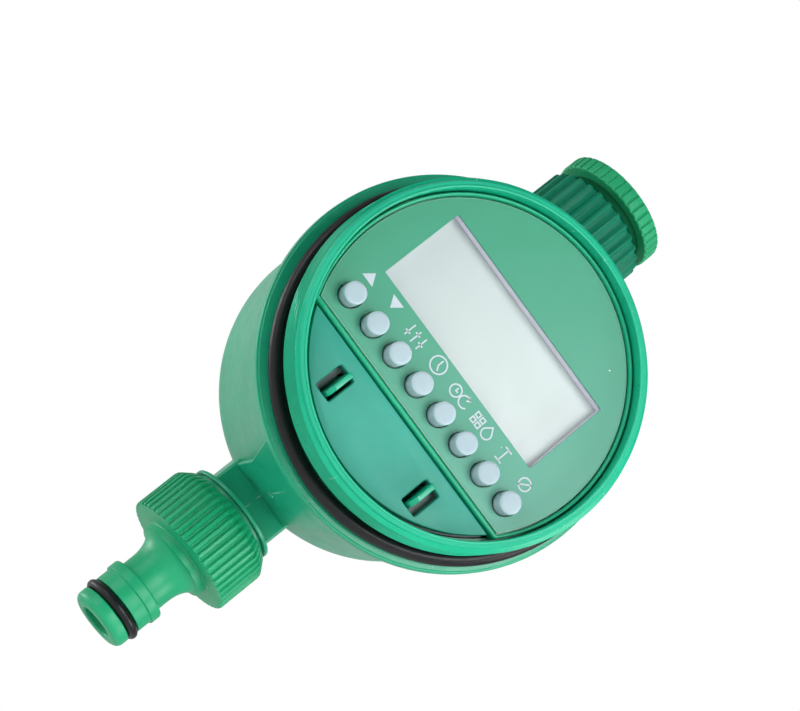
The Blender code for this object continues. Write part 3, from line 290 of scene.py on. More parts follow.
greens = {
    "housing": moulded("housing_green", (8, 149, 110), 0.33, dust=0.012, parting=True),
    "lip": moulded("textured_green", (14, 170, 132), 0.5, 0.35, 0.10, 0.01, True, 0.25),
    "thread": moulded("thread_green", (10, 168, 128), 0.3, 0.03, 0.10, 0.03, True, 0.25),
    "panel": moulded("panel_green", (8, 158, 118), 0.3, dust=0.01),
    "drawer": moulded("drawer_green", (42, 150, 131), 0.46, 0.04, dust=0.012, specular=0.3),
    "latch": moulded("latch_green", (10, 164, 126), 0.34, dust=0.01),
    "connector": moulded("connector_green", (10, 153, 104), 0.42, 0.04, 0.10, 0.015, False, 0.35),
    "nut": moulded("nut_green", (6, 114, 86), 0.36, grain=0.03, dust=0.015, specular=0.2),
    "adaptor": moulded("adaptor_green", (26, 150, 100), 0.5, grain=0.04, dust=0.02, specular=0.25),
    # Painted shade: a dark green without gloss for the adaptor's collar, deep in the recess between
    # the nut and the rim.
    "adaptor_painted_shade": moulded("adaptor_painted_shade_green", (4, 76, 46), 0.7, grain=0.04, specular=0.0),
}
film = film_material()
cut_edge = moulded("film_cut_edge", (160, 204, 186), 0.4, vary=0.03)
legend = moulded("legend_white", (186, 198, 206), 0.5, vary=0.03)
key_grey = moulded("key_grey", (168, 188, 196), 0.45, grain=0.05, vary=0.03, dust=0.02, soft=0.0016)
inner_grey = moulded("inner_grey", (108, 122, 122), 0.5, grain=0.06, vary=0.05, dust=0.01)
bezel_grey = moulded("bezel_grey", (222, 214, 232), 0.55, grain=0.03, vary=0.03)
acetal = moulded("white_acetal", (226, 224, 212), 0.4, grain=0.02, vary=0.03)
black_rubber = rubber("black_rubber")
grey_rubber = rubber("grey_silicone", (96, 98, 100), 0.02, 0.55)
steel = metal("plated_steel")
zinc = metal("zinc_screw", (205, 200, 186), 0.3)
cell_black = moulded("cell_label", (24, 25, 28), 0.3, vary=0.05)
lead_red = moulded("lead_red", (168, 26, 24), 0.42)
lead_black = moulded("lead_black", (22, 22, 24), 0.42)
display_pale = display_material()
board_green = board_material()
clear = window_material()


# ---- mesh tools


def arc_corner(before, corner, after, radius, count=4):
    """Points that round a corner of an outline with an arc of that radius."""
    here = Vector(corner)
    to_before, to_after = Vector(before) - here, Vector(after) - here
    first, second = to_before.normalized(), to_after.normalized()
    half = first.angle(second) / 2
    if radius <= 0 or half > 1.55 or half < 0.05:
        return [corner]
    back = min(radius / math.tan(half), to_before.length * 0.49, to_after.length * 0.49)
    radius = back * math.tan(half)
    middle = here + (first + second).normalized() * (radius / math.sin(half))
    start, end = here + first * back - middle, here + second * back - middle
    sweep = start.angle(end)
    side = 1 if start.x * end.y - start.y * end.x > 0 else -1
    points = []
    for step in range(count + 1):
        turn = Matrix.Rotation(side * sweep * step / count, 2)
        points.append(tuple(middle + turn @ start))
    return points


def rounded(outline, radius, closed=False, count=4):
    """An outline with its corners rounded. A corner may carry its own radius as a third number."""
    result = []
    last = len(outline) - 1
    for index, corner in enumerate(outline):
        own = corner[2] if len(corner) > 2 else radius
        if not closed and index in (0, last):
            result.append(tuple(corner[:2]))
            continue
        before, after = outline[index - 1], outline[(index + 1) % len(outline)]
        result += arc_corner(before[:2], corner[:2], after[:2], own, count)
    return result


def link(name, builder, materials, smooth=40):
    """Makes an object, in metres, from a mesh builder in millimetres."""
    bmesh.ops.recalc_face_normals(builder, faces=builder.faces)
    bmesh.ops.scale(builder, vec=(MM, MM, MM), verts=builder.verts)
    mesh = bpy.data.meshes.new(name)
    builder.to_mesh(mesh)
    builder.free()
    mesh.shade_smooth()
    mesh.set_sharp_from_angle(angle=math.radians(smooth))
    for material in materials:
        mesh.materials.append(material)
    obj = bpy.data.objects.new(name, mesh)
    bpy.context.scene.collection.objects.link(obj)
    return obj


def stitch(builder, rings, wrap_rows, indices=None):
    """Joins rings of points, each a closed loop, with quads. Rows may close on themselves."""
    pairs = list(zip(rings, rings[1:]))
    if wrap_rows:
        pairs.append((rings[-1], rings[0]))
    for row, (ring, after) in enumerate(pairs):
        for here in range(len(ring)):
            there = (here + 1) % len(ring)
            corners = []
            for vert in (ring[here], ring[there], after[there], after[here]):
                if vert not in corners:
                    corners.append(vert)
            if len(corners) < 3:
                continue
            face = builder.faces.new(corners)
            if indices:
                face.material_index = indices[row]


def even_angles(steps, parting=False):
    """Angles round a turn, with a few more beside the parting line at a quarter turn each way."""
    angles = [2 * math.pi * step / steps for step in range(steps)]
    if parting:
        for centre in (math.pi / 2, 3 * math.pi / 2):
            angles += [centre + offset for offset in (-0.006, -0.002, 0.002, 0.006)]
    return sorted(set(angles))


def turned_rings(builder, outline, axis, centre, angles, relief):
    """A ring of points for each row of an outline. A row on the axis is one point."""
    rings = []
    for row, (radius, along) in enumerate(outline):
        if radius <= 0:
            tip = builder.verts.new(turned_point(0, 0, along, axis, centre))
            rings.append([tip] * len(angles))
            continue
        ring = []
        for angle in angles:
            reach = radius + (relief(angle, along, row) if relief else 0)
            ring.append(builder.verts.new(turned_point(reach, angle, along, axis, centre)))
        rings.append(ring)
    return rings


def lathe(name, outline, materials, axis, centre, angles, relief=None, smooth=40):
    """Turns an outline of (radius, along) points. relief(angle, along, row) adds to a radius."""
    builder = bmesh.new()
    closed = outline[0][0] > 0 and outline[-1][0] > 0
    stitch(builder, turned_rings(builder, outline, axis, centre, angles, relief), closed)
    return link(name, builder, materials, smooth)


def turned_point(radius, angle, along, axis, centre):
    """A point round an axis. About Y the angle runs from +X towards +Z."""
    across, up = radius * math.cos(angle), radius * math.sin(angle)
    if axis == "Z":
        return (centre[0] + across, centre[1] + up, centre[2] + along)
    return (centre[0] + across, centre[1] + along, centre[2] + up)


def loft(name, rings, materials):
    """Joins rings of points into one skin and closes both ends."""
    builder = bmesh.new()
    loops = [[builder.verts.new(point) for point in ring] for ring in rings]
    stitch(builder, loops, False)
    builder.faces.new(loops[0])
    builder.faces.new(loops[-1])
    return link(name, builder, materials)


def rounded_slab(name, outline, low, high, materials, edge, axis="Y"):
    """An (across, up) outline extruded between two positions, its long edges rounded."""
    rings = []
    for step in range(5):
        angle = math.pi / 2 * step / 4
        rings.append((edge * (1 - math.sin(angle)), low + edge * (1 - math.cos(angle))))
    rings += [(inset, low + high - along) for inset, along in rings[::-1]]
    shells = []
    for inset, along in rings:
        points = inset_outline(outline, inset)
        if axis == "Y":
            shells.append([(across, along, up) for across, up in points])
        else:
            shells.append([(along, across, up) for across, up in points])
    return loft(name, shells, materials)


def inset_outline(outline, inset):
    """A convex outline moved inwards."""
    if inset <= 1e-9:
        return list(outline)
    area = sum(a[0] * b[1] - b[0] * a[1] for a, b in zip(outline, outline[1:] + outline[:1]))
    side = 1 if area > 0 else -1
    moved = []
    for index, corner in enumerate(outline):
        before, after = Vector(outline[index - 1]), Vector(outline[(index + 1) % len(outline)])
        here = Vector(corner)
        first, second = (here - before).normalized(), (after - here).normalized()
        normals = [Vector((-edge.y, edge.x)) * side for edge in (first, second)]
        total = normals[0] + normals[1]
        moved.append(tuple(here + total * (inset / max(0.3, 1 + normals[0].dot(normals[1])))))
    return moved


def boxy(half_x, half_z, corner, centre=(0, 0), count=6):
    """A rounded rectangle's outline."""
    points = [(-half_x, -half_z), (half_x, -half_z), (half_x, half_z), (-half_x, half_z)]
    points = [(centre[0] + x, centre[1] + z) for x, z in points]
    return rounded(points, corner, closed=True, count=count)


def boolean(target, tools, operation):
    """Applies one Boolean after another, and removes the tools."""
    for tool in tools:
        modifier = target.modifiers.new(tool.name, "BOOLEAN")
        modifier.operation = operation
        modifier.solver = "MANIFOLD"
        modifier.object = tool
    bpy.context.view_layer.update()
    graph = bpy.context.evaluated_depsgraph_get()
    made = bpy.data.meshes.new_from_object(target.evaluated_get(graph))
    target.modifiers.clear()
    old = target.data
    target.data = made
    bpy.data.meshes.remove(old)
    for tool in tools:
        bpy.data.objects.remove(tool)
    return target


def sharpen(obj):
    """Shades a cut piece smooth with its real edges sharp again."""
    obj.data.shade_smooth()
    obj.data.set_sharp_from_angle(angle=math.radians(35))
    return obj


def place(obj, body, slot, *nodes):
    """Rides the piece on its body and hides the CAD nodes it stands for."""
    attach(obj, body)
    if nodes:
        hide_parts(*nodes)


# ---- housing

THREAD_ROOT = 42.0
THREAD_CREST = 43.2
COVER_PITCH = 2.0
THREAD_START = -3.2
THREAD_END = 6.6
BOWL_FRONT_R = 44.4
BOWL_BACK_R = 41.9
BOWL_CORNER = 62.5
BOWL_BACK = 84.0
DOME_FLAT_R = 21.9
FLANGE_BACK = 17.0


def bowl_radius(at_depth):
    """The bowl's outside, which narrows a little towards the back."""
    share = (at_depth - FLANGE_BACK) / (BOWL_CORNER - FLANGE_BACK)
    return BOWL_FRONT_R + (BOWL_BACK_R - BOWL_FRONT_R) * share


def bowl_corner(inset, count):
    """The rounded corner between the bowl's side and its back, moved in for the inside."""
    points = []
    for step in range(count + 1):
        angle = math.pi / 2 * step / count
        radius = DOME_FLAT_R + (BOWL_BACK_R - inset - DOME_FLAT_R) * math.cos(angle)
        along = BOWL_CORNER + (BOWL_BACK - inset - BOWL_CORNER) * math.sin(angle)
        points.append((radius, along))
    return points


def cover_thread(angle, along):
    """Height of the cover's helical thread above its root, fading in and out at its ends."""
    if not THREAD_START <= along <= THREAD_END:
        return 0.0
    phase = ((along - THREAD_START) / COVER_PITCH - angle / (2 * math.pi)) % 1.0
    ridge = min(1.0, 1.12 * max(0.0, 1 - abs(phase - 0.5) / 0.36))
    fade = min(1.0, (along - THREAD_START) / 0.5, (THREAD_END - along) / 0.8)
    return (THREAD_CREST - THREAD_ROOT) * ridge * max(0.0, fade)


def neck_outline(low, high, half, front, back, draft):
    """The square pipe neck, its sides drafted and its corners softened, as two rings."""
    corners = [(-half, front), (half, front), (half - draft, back), (draft - half, back)]
    outline = rounded(corners, 0.8, closed=True, count=5)
    return [[(x, y, z) for x, y in outline] for z in (height(low), height(high))]


def pad_half_width(at_depth):
    """Half the raised pad's width, flaring from the neck out to the flange."""
    share = max(0.0, min(1.0, (at_depth - FLANGE_BACK) / 26.0))
    return 9.6 + 4.6 * (1 - share)


def neck_pad(name, side):
    """The flat raised pad between the flange and the pipe's neck, its edges softened."""
    rings = []
    for step in range(22):
        at_depth = FLANGE_BACK - 0.4 + (59.6 - FLANGE_BACK) * step / 21
        half = pad_half_width(at_depth)
        outside = bowl_radius(at_depth) + 0.3
        corners = [(-half, 39.2), (half, 39.2), (half, outside, 0.35), (-half, outside, 0.35)]
        outline = rounded(corners, 0.0, closed=True, count=4)
        rings.append([(x, depth(at_depth), FACE_Z + side * z) for x, z in outline])
    return loft(name, rings, [greens["housing"]])


def about_pipe(name, outline, steps=STEPS):
    """A plain green turning about the pipe's axis."""
    return lathe(name, outline, [greens["housing"]], "Z", PIPE, even_angles(steps))


def pipe_thread(name, top, low, high, root, crest, pitch):
    """A short male pipe thread as a helical relief on a plain end."""

    def relief(angle, along, row):
        phase = (along / pitch + angle / (2 * math.pi)) % 1.0
        ridge = max(0.0, 1 - abs(phase - 0.5) / 0.4)
        return (crest - root) * ridge if low + 0.4 < along < high - 0.4 else 0.0

    rows = [(0, low), (root - 0.5, low), (root, low + 0.5)]
    count = int((high - low) / 0.2)
    length = high - low - 0.5
    rows += [(root, low + 0.5 + length * step / count) for step in range(1, count)]
    rows += [(root, top), (0, top)]
    return lathe(name, rows, [greens["housing"]], "Z", PIPE, even_angles(120), relief)


def housing_outline():
    """The outside from the lip's inner wall round to the dome's middle, as (radius, along).

    With it come the number of its rows in the lip, and the number in the lip and thread.
    """
    lip = [(40.35, 3.2, 0.0), (40.35, -4.0, 0.35), (40.95, -4.0, 0.12), (41.05, -3.8, 0.12)]
    lip += [(41.95, -3.8, 0.25), (42.0, -3.2, 0.1)]
    outline = rounded(lip, 0.1)[:-1]
    lip_rows = len(outline)
    first, length = THREAD_START + 0.1, THREAD_END - THREAD_START - 0.1
    rows = int(length / 0.22)
    outline += [(THREAD_ROOT, first + length * step / rows) for step in range(rows + 1)]
    thread_rows = len(outline)
    rim = [(THREAD_ROOT, THREAD_END, 0), (THREAD_ROOT, 8.9, 0.3), (40.9, 9.3, 0.3)]
    rim += [(40.9, 13.8, 0.4), (46.4, 13.8, 0.25), (46.45, 14.15, 0.1), (47.0, 14.2, 0.3)]
    rim += [(47.0, 16.5, 0.35), (46.6, 16.6, 0.1), (46.5, FLANGE_BACK, 0.2)]
    rim += [(bowl_radius(FLANGE_BACK) + 0.1, FLANGE_BACK, 0.5)]
    rim += [(bowl_radius(BOWL_CORNER - 1), BOWL_CORNER - 1, 0)]
    outline += rounded(rim, 0.2)[1:]
    outline += bowl_corner(0, 20) + [(0, BOWL_BACK)]
    return outline, lip_rows, thread_rows


def housing():
    outer, lip_rows, thread_rows = housing_outline()
    inside = [(0, 81.7)] + bowl_corner(2.3, 8)[::-1]
    inside += [(42.0, 22.0), (39.4, 18.0), (39.4, 3.2)]

    def relief(angle, along, row):
        seam = min(abs(angle - math.pi / 2), abs(angle - 3 * math.pi / 2)) < 0.003
        ridge = 0.06 if seam and row < thread_rows else 0.0
        return cover_thread(angle, along) * (lip_rows <= row < thread_rows) + ridge

    plain, lip, thread = 0, 1, 2
    indices = []
    for row, (radius, along) in enumerate(outer):
        textured = row < lip_rows and radius > 41.04 and along < -3
        indices.append(lip if textured else thread if row < thread_rows else plain)
    indices += [plain] * len(inside)
    materials = [greens["housing"], greens["lip"], greens["thread"]]
    angles = even_angles(STEPS, parting=True)
    body = shell("housing_shell", outer, inside, materials, angles, relief, indices)

    green = materials[:1]
    parts = [neck_pad("pad_low", -1), neck_pad("pad_high", 1)]
    for name, low, high in (("neck_low", -48.6, -35.5), ("neck_high", 35.5, 50.4)):
        parts.append(loft(name, neck_outline(low, high, 10.4, -8.0, 10.0, 1.0), green))
    collar = [(0, -48.4), (13.3, -48.4), (13.3, -49.5), (0, -49.5)]
    parts.append(about_pipe("collar", rounded(collar, 0.3)))
    parts.append(pipe_thread("spigot", -49.2, -61.0, -50.2, 12.1, 12.9, 1.814))
    end = [(0, 50.0), (9.6, 50.0), (9.6, 57.2), (8.4, 57.2), (8.4, 59.2), (9.6, 59.2)]
    end += [(9.6, 60.0), (0, 60.0)]
    parts.append(about_pipe("inlet_end", rounded(end, 0.15), 96))
    pipe = [(0, -40.5), (9.5, -40.5), (9.5, 40.5), (0, 40.5)]
    parts.append(about_pipe("inner_pipe", pipe, 64))
    boolean(body, parts, "UNION")
    bore = [(0, -75.0), (5.5, -75.0), (5.5, 75.0), (0, 75.0)]
    cutters = [about_pipe("bore", bore, 64)]
    dimple = rounded([(0, -45.0), (2.4, -45.0), (0.7, -42.2, 0.5), (0, -42.2)], 0.3)
    spot = (0, depth(48.4), FACE_Z)
    cutters.append(lathe("dimple", dimple, green, "Z", spot, even_angles(24)))
    boolean(body, cutters, "DIFFERENCE")
    place(sharpen(body), "housing_body", "housing", "housing")


def shell(name, outer, inside, materials, angles, relief, indices):
    """The bowl's skin: the outside up to the back's middle, then back along the inside."""
    builder = bmesh.new()
    rings = turned_rings(builder, outer + inside, "Y", FACE_AXIS, angles, relief)
    split = len(outer)
    stitch(builder, rings[:split], False, indices[:split])
    stitch(builder, rings[split:] + [rings[0]], False, indices[split:])
    return link(name, builder, materials)


def cord(centre_r, cord_r, count):
    """A round cord's section as (radius, along) points."""
    points = []
    for step in range(count):
        angle = 2 * math.pi * step / count
        points.append((centre_r + cord_r * math.cos(angle), cord_r * math.sin(angle)))
    return points


def seals():
    """The cover's seal, which lies a little out of true, and the nipple's O-ring."""

    def slack(angle, along, row):
        return 0.08 * math.sin(3 * angle + 0.6) + 0.05 * math.sin(7 * angle)

    middle = (SEAL_BOX[0].y + SEAL_BOX[1].y) / 2 / MM
    centre = (0.5, middle, FACE_Z - 0.15)
    section, angles = cord(43.2, 1.75, 18), even_angles(180)
    seal = lathe("cover_seal_ring", section, [black_rubber], "Y", centre, angles, slack)
    place(seal, "housing_body", "cover_seal", "cover_seal")

    low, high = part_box("nipple_o_ring")
    centre = (0, 0, (low.z + high.z) / 2 / MM)
    section, angles = cord(7.62, 1.25, 14), even_angles(96)
    ring = lathe("nipple_ring", section, [black_rubber], "Z", centre, angles)
    place(ring, "outlet_fitting", "black_rubber", "nipple_o_ring")


# ---- ribbed turnings


def groove_wave(phase, land, depth_mm):
    """A groove between flat-topped ribs: nothing over the land, then a rounded valley."""
    if phase < land:
        return 0.0
    share = (phase - land) / (1 - land)
    return -depth_mm * min(1.0, math.sin(math.pi * share) / 0.86 if share > 0 else 0.0)


def ribbed_angles(ribs, land, valley_points):
    """Angles with a point at each end of a rib's land and several across its valley."""
    valley = [land + (1 - land) * step / valley_points for step in range(valley_points)]
    shares = [0.0, land / 2] + valley
    return [2 * math.pi * (rib + share) / ribs for rib in range(ribs) for share in shares]


def ribbed(name, sections, ribs, land, rib_depth, material, valley_points):
    """A turning about the pipe with ribs where an outline row's share is above nothing."""
    outline, shares = with_shares(sections)

    def relief(angle, along, row):
        if shares[row] <= 0:
            return 0.0
        phase = (angle / (2 * math.pi) * ribs) % 1.0
        return groove_wave(phase + 1e-9, land, rib_depth) * shares[row]

    angles = ribbed_angles(ribs, land, valley_points)
    return lathe(name, outline, [material], "Z", PIPE, angles, relief, 50)


def with_shares(sections):
    """Splits sections of (points, share) into an outline and one share for each of its rows."""
    outline, shares = [], []
    for points, share in sections:
        for index, point in enumerate(points):
            outline.append(point[:2])
            shares.append(share if not isinstance(share, tuple) else share[index])
    return outline, shares


def outlet_connector():
    """The outlet's ribbed nut, waist, collar and nose, one moulding with its bore."""
    stub_r, nose_r = 10.4, 8.1
    mouth = [(13.3, -52.0), (13.3, -50.9), (14.2, -50.9), (16.2, -53.3), (16.4, -54.0)]
    mouth = rounded(mouth, 0.25, count=3)
    mouth_shares = tuple(max(0.0, min(1.0, (radius - 14.6) / 1.3)) for radius, _ in mouth)
    flank = [(16.4, -54.0 - 11.4 * step / 4) for step in range(1, 5)]
    edge = [(16.38, -65.6), (16.25, -65.85), (16.05, -65.97)]
    nose_side = rounded([(15.8, -66.0), (stub_r, -66.0, 0.5), (stub_r, -68.3, 0.4)], 0.3)
    waist = []
    for step in range(1, 13):
        angle = math.pi / 2 * step / 12
        in_by, down_by = (stub_r - 7.0) * math.sin(angle), 6.5 * (1 - math.cos(angle))
        waist.append((stub_r - in_by, -68.3 - down_by))
    nose = [waist[-1], (7.0, -78.5, 0.4), (8.6, -78.5, 0.5), (8.6, -81.4, 0.35)]
    nose += [(nose_r, -81.45, 0.15), (nose_r, -85.2, 0.2), (6.1, -85.2, 0.2), (6.1, -88.3, 0.2)]
    nose += [(nose_r, -88.3, 0.3), (nose_r, -91.9, 2.3), (4.4, -91.9, 0.6), (4.4, -80.0, 0)]
    nose = rounded(nose, 0.3, count=5)[1:]
    bore = [(4.4, -67.5), (5.5, -64.0), (13.3, -64.0), (13.3, -60.0)]
    sections = [(mouth, mouth_shares), (flank, 1.0), (edge, (1.0, 0.9, 0.5)), (nose_side, 0.0)]
    sections += [(waist, 0.0), (nose, 0.0), (bore, 0.0)]
    made = ribbed("outlet_fitting_body", sections, 50, 0.34, 0.8, greens["connector"], 8)
    place(made, "outlet_fitting", "outlet_connector", "outlet_connector")


def coupling_nut():
    low, high = 53.0, 77.3
    mouth = [(10.0, 56.6), (10.0, low, 0.3), (15.9, low, 0.3), (16.5, 53.7)]
    mouth = rounded(mouth, 0.2, count=3)
    mouth_shares = tuple(max(0.0, min(1.0, (radius - 14.8) / 1.2)) for radius, _ in mouth)
    flank = [(16.5, 53.7 + 22.6 * step / 5) for step in range(1, 6)]
    edge = [(16.45, 76.7), (16.25, 77.1), (15.9, 77.28)]
    inside = rounded([(15.7, high), (13.1, high, 0.3), (13.1, 56.6), (10.0, 56.6)], 0.2)[:-1]
    sections = [(mouth, mouth_shares), (flank, 1.0), (edge, (1.0, 1.0, 0.8)), (inside, 0.0)]
    nut = ribbed("coupling_nut", sections, 28, 0.16, 1.0, greens["nut"], 8)
    place(nut, "inlet_nut_body", "inlet_nut", "inlet_nut")


def tap_adaptor():
    """The adaptor: a plain end inside the nut, a short collar coloured a dark green of painted
    shade for its recess, and a ribbed rim.
    """
    start = rounded([(7.0, 66.0), (7.0, 63.0, 0.3), (12.1, 63.0, 0.3), (12.7, 63.8)], 0.2)
    thread = [(12.7, 64.0 + 13.2 * step / 60) for step in range(61)]
    collar = [(12.7, 77.4), (12.75, 77.6, 0.1), (12.9, 77.6, 0.1), (12.9, 80.4, 0.3)]
    collar = rounded(collar + [(15.4, 80.4, 0.15)], 0.15)
    rim = [(15.8, 80.42), (16.1, 80.6), (16.2, 81.0), (16.2, 83.0), (16.2, 84.6)]
    rim += [(16.1, 84.95), (15.8, 85.15)]
    rim_shares = (0.2, 0.8, 1.0, 1.0, 1.0, 0.8, 0.2)
    mouth = rounded([(15.5, 85.2), (10.6, 85.2, 0.5), (10.6, 73.5), (7.0, 73.5), (7.0, 67.0)], 0.2)
    sections = [(start, 0.0), (thread, 0.0), (collar, 0.0), (rim, rim_shares), (mouth, 0.0)]
    adaptor = ribbed("tap_adaptor", sections, 40, 0.6, 0.5, greens["adaptor"], 5)
    # The collar's faces between the nut and the rim take the dark green of painted shade, standing
    # in for the shadow in that recess.
    adaptor.data.materials.append(greens["adaptor_painted_shade"])
    for face in adaptor.data.polygons:
        middle = face.center / MM
        if 76.9 < middle.z - FACE_Z < 80.36 and math.hypot(middle.x, middle.y) < 13.6:
            face.material_index = 1
    place(adaptor, "adaptor", "inlet_adaptor", "inlet_adaptor")


# ---- face

# The display's opening as centre x, centre z and half sizes, and other places on the face.
WINDOW = (-0.9, 7.9, 28.0, 11.45)
BUTTON_Z = -13.5
SLOT_X = 16.15

# How far a printed sign reaches into the film and stands above it, and its lines' width.
SUNK = 0.02
LIFTED = 0.035
LINE_WIDTH = 0.36


def d_outline(radius, chord, above=True):
    """The part of a disc above a chord, or below it, as (x, z) points about the face's centre."""
    arc_points, flat_points = 150, 20
    corner = math.asin(chord / radius)
    start, turn = corner, math.pi - 2 * corner
    if not above:
        start, turn = math.pi - corner, math.pi + 2 * corner
    sweep = [start + turn * step / arc_points for step in range(arc_points + 1)]
    points = [(radius * math.cos(angle), radius * math.sin(angle)) for angle in sweep]
    last, first = points[-1], points[0]
    for step in range(1, flat_points):
        share = step / flat_points
        points.append((last[0] + (first[0] - last[0]) * share, chord))
    return points


def d_loft(name, profile, materials, above=True):
    """Rings of one D shape, each from (radius, chord, depth), joined and closed."""
    rings = []
    for radius, chord, y in profile:
        outline = d_outline(radius, chord, above)
        rings.append([(x, depth(y), height(z)) for x, z in outline])
    return loft(name, rings, materials)


def rods(name, spots, radius, low, high, material, steps):
    """Round rods along Y between two depths, one at each (x, z) spot."""
    outline = [(0, depth(low)), (radius, depth(low)), (radius, depth(high)), (0, depth(high))]
    made = []
    for x, z in spots:
        centre = (x, 0, height(z))
        made.append(lathe(name, outline, [material], "Y", centre, even_angles(steps)))
    return made


def window_tool(low, high, grow, corner, material):
    """A block the shape of the display's opening, made larger all round, between two depths."""
    x, z, half_x, half_z = WINDOW
    outline = boxy(half_x + grow, half_z + grow, corner, (x, z))
    rings = [[(px, depth(y), height(pz)) for px, pz in outline] for y in (low, high)]
    return loft("window_tool", rings, [material])


def face_cutters(window_grow, window_corner, hole_r):
    """What the window and the keys' holes take out of the panel or its film."""
    boxes = [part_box(node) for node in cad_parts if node.startswith("button_")]
    spots = sorted(((low.x + high.x) / 2 / MM, BUTTON_Z) for low, high in boxes)
    window = window_tool(-3, 6, window_grow, window_corner, film)
    return [window] + rods("rod", spots, hole_r, -3, 6, film, 48)


def control_panel():
    profile = [(39.95, -20.88, 2.9), (39.95, -20.88, -0.35)]
    for step in range(1, 9):
        angle = math.pi * step / 9
        out, front = math.cos(angle), math.sin(angle)
        profile.append((39.53 + 0.42 * out, -20.3 - 0.58 * out, -0.35 - 0.5 * front))
    profile += [(39.1, -19.72, -0.3), (39.1, -19.72, 1.3)]
    profile += [(38.75, -19.35, 1.3), (38.75, -19.35, 0.6)]
    panel = d_loft("face_panel", profile, [greens["panel"]])
    spots = ((-22.0, 27.6), (22.0, 27.6), (-35.3, -4.5), (35.3, -4.5))
    posts = rods("post", spots, 2.3, 1.2, 8.7, greens["panel"], 32)
    boolean(panel, posts, "UNION")
    sharpen(boolean(panel, face_cutters(1.3, 0.4, 3.0), "DIFFERENCE"))
    place(panel, "housing_body", "control_panel", "control_panel")

    edge = 38.72
    profile = [(edge, -19.25, 0.6), (edge, -19.25, 0.1), (edge - 0.13, -19.12, 0.0)]
    film_sheet = d_loft("printed_film_sheet", profile, [film, cut_edge])
    for face in film_sheet.data.polygons:
        if abs(face.normal.y) < 0.98:
            face.material_index = 1
    sharpen(boolean(film_sheet, face_cutters(0.0, 0.25, 3.2), "DIFFERENCE"))
    place(film_sheet, "housing_body", "panel_overlay", "panel_overlay")


def display():
    """The bezel round the display, its clear window, and the pale display itself."""
    bezel = window_tool(3.2, 8.3, 2.2, 0.6, bezel_grey)
    boolean(bezel, [window_tool(0.12, 3.6, 1.0, 0.5, bezel_grey)], "UNION")
    opening = window_tool(-1.0, 5.0, 0.15, 0.3, bezel_grey)
    pocket = window_tool(3.35, 9.0, 1.3, 0.3, bezel_grey)
    boolean(bezel, [opening, pocket], "DIFFERENCE")
    bezel.name = "display_bezel"
    place(sharpen(bezel), "housing_body", "lcd_frame", "lcd_frame")
    glass = window_tool(3.7, 7.0, 1.0, 0.3, display_pale)
    glass.name = "display_glass_block"
    place(glass, "housing_body", "lcd_glass", "lcd_glass")
    x, z, half_x, half_z = WINDOW
    outline = boxy(half_x + 0.12, half_z + 0.12, 0.3, (x, height(z)))
    pane = rounded_slab("clear_window_pane", outline, depth(0.65), depth(1.65), [clear], 0.1)
    place(pane, "housing_body", "display_window", "display_window")


def buttons():
    """Pale round keys with softened tops."""
    nodes = [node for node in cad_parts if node.startswith("button_")]
    nodes.sort(key=lambda node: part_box(node)[0].x)
    for node in nodes:
        low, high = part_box(node)
        front, back = low.y / MM, high.y / MM
        foot = depth(3.2)
        outline = [(0, front), (2.0, front + 0.03, 0.4), (2.72, front + 0.22, 0.55)]
        outline += [(2.75, foot, 0.1), (3.7, foot, 0.2), (3.7, back, 0.2), (0, back)]
        outline = rounded(outline, 0.3, count=6)
        centre = ((low.x + high.x) / 2 / MM, 0, height(BUTTON_Z))
        name = node.replace("button", "key")
        key = lathe(name, outline, [key_grey], "Y", centre, even_angles(56))
        place(key, "key_" + node.split("_")[1], "buttons", node)


def turns(path, closed):
    """For each point of a path, the way along it there and the way it leads in."""
    count = len(path)
    for index, here in enumerate(path):
        before = path[index - 1] if closed or index else here
        after = path[(index + 1) % count] if closed or index < count - 1 else here
        to_here, onward = here - before, after - here
        first = (to_here if to_here.length > 0 else onward).normalized()
        second = (onward if onward.length > 0 else first).normalized()
        total = first + second
        yield here, (total.normalized() if total.length > 1e-6 else first), first


def stroke(points):
    """A printed line: a flat ribbon along (x, z) points, a hair above the film."""
    builder = bmesh.new()
    closed = points[0] == points[-1]
    path = [Vector(point) for point in (points[:-1] if closed else points)]
    rings = []
    for here, along, first in turns(path, closed):
        side = Vector((-along.y, along.x)) * (LINE_WIDTH / 2) / max(0.5, along.dot(first))
        ring = []
        for across, y in ((-1, SUNK), (1, SUNK), (1, -LIFTED), (-1, -LIFTED)):
            spot = here + side * across
            ring.append(builder.verts.new((spot.x, depth(y), height(spot.y))))
        rings.append(ring)
    stitch(builder, rings, closed)
    if not closed:
        builder.faces.new(rings[0])
        builder.faces.new(rings[-1])
    return link("mark", builder, [legend])


def arc(centre, radius, start, end, count=24):
    points = []
    for step in range(count + 1):
        angle = math.radians(start + (end - start) * step / count)
        points.append((centre[0] + radius * math.cos(angle), centre[1] + radius * math.sin(angle)))
    if abs(end - start) >= 360:
        points[-1] = points[0]
    return points


def triangle(x, z, half_width, half_height):
    foot = z - half_height
    corners = [(x - half_width, foot), (x + half_width, foot), (x, z + half_height)]
    rings = [[(px, depth(y), height(pz)) for px, pz in corners] for y in (SUNK, -LIFTED)]
    return loft("mark", rings, [legend])


def square(x, z, half):
    corners = [(x - half, z - half), (x + half, z - half), (x + half, z + half)]
    return corners + [(x - half, z + half), (x - half, z - half)]


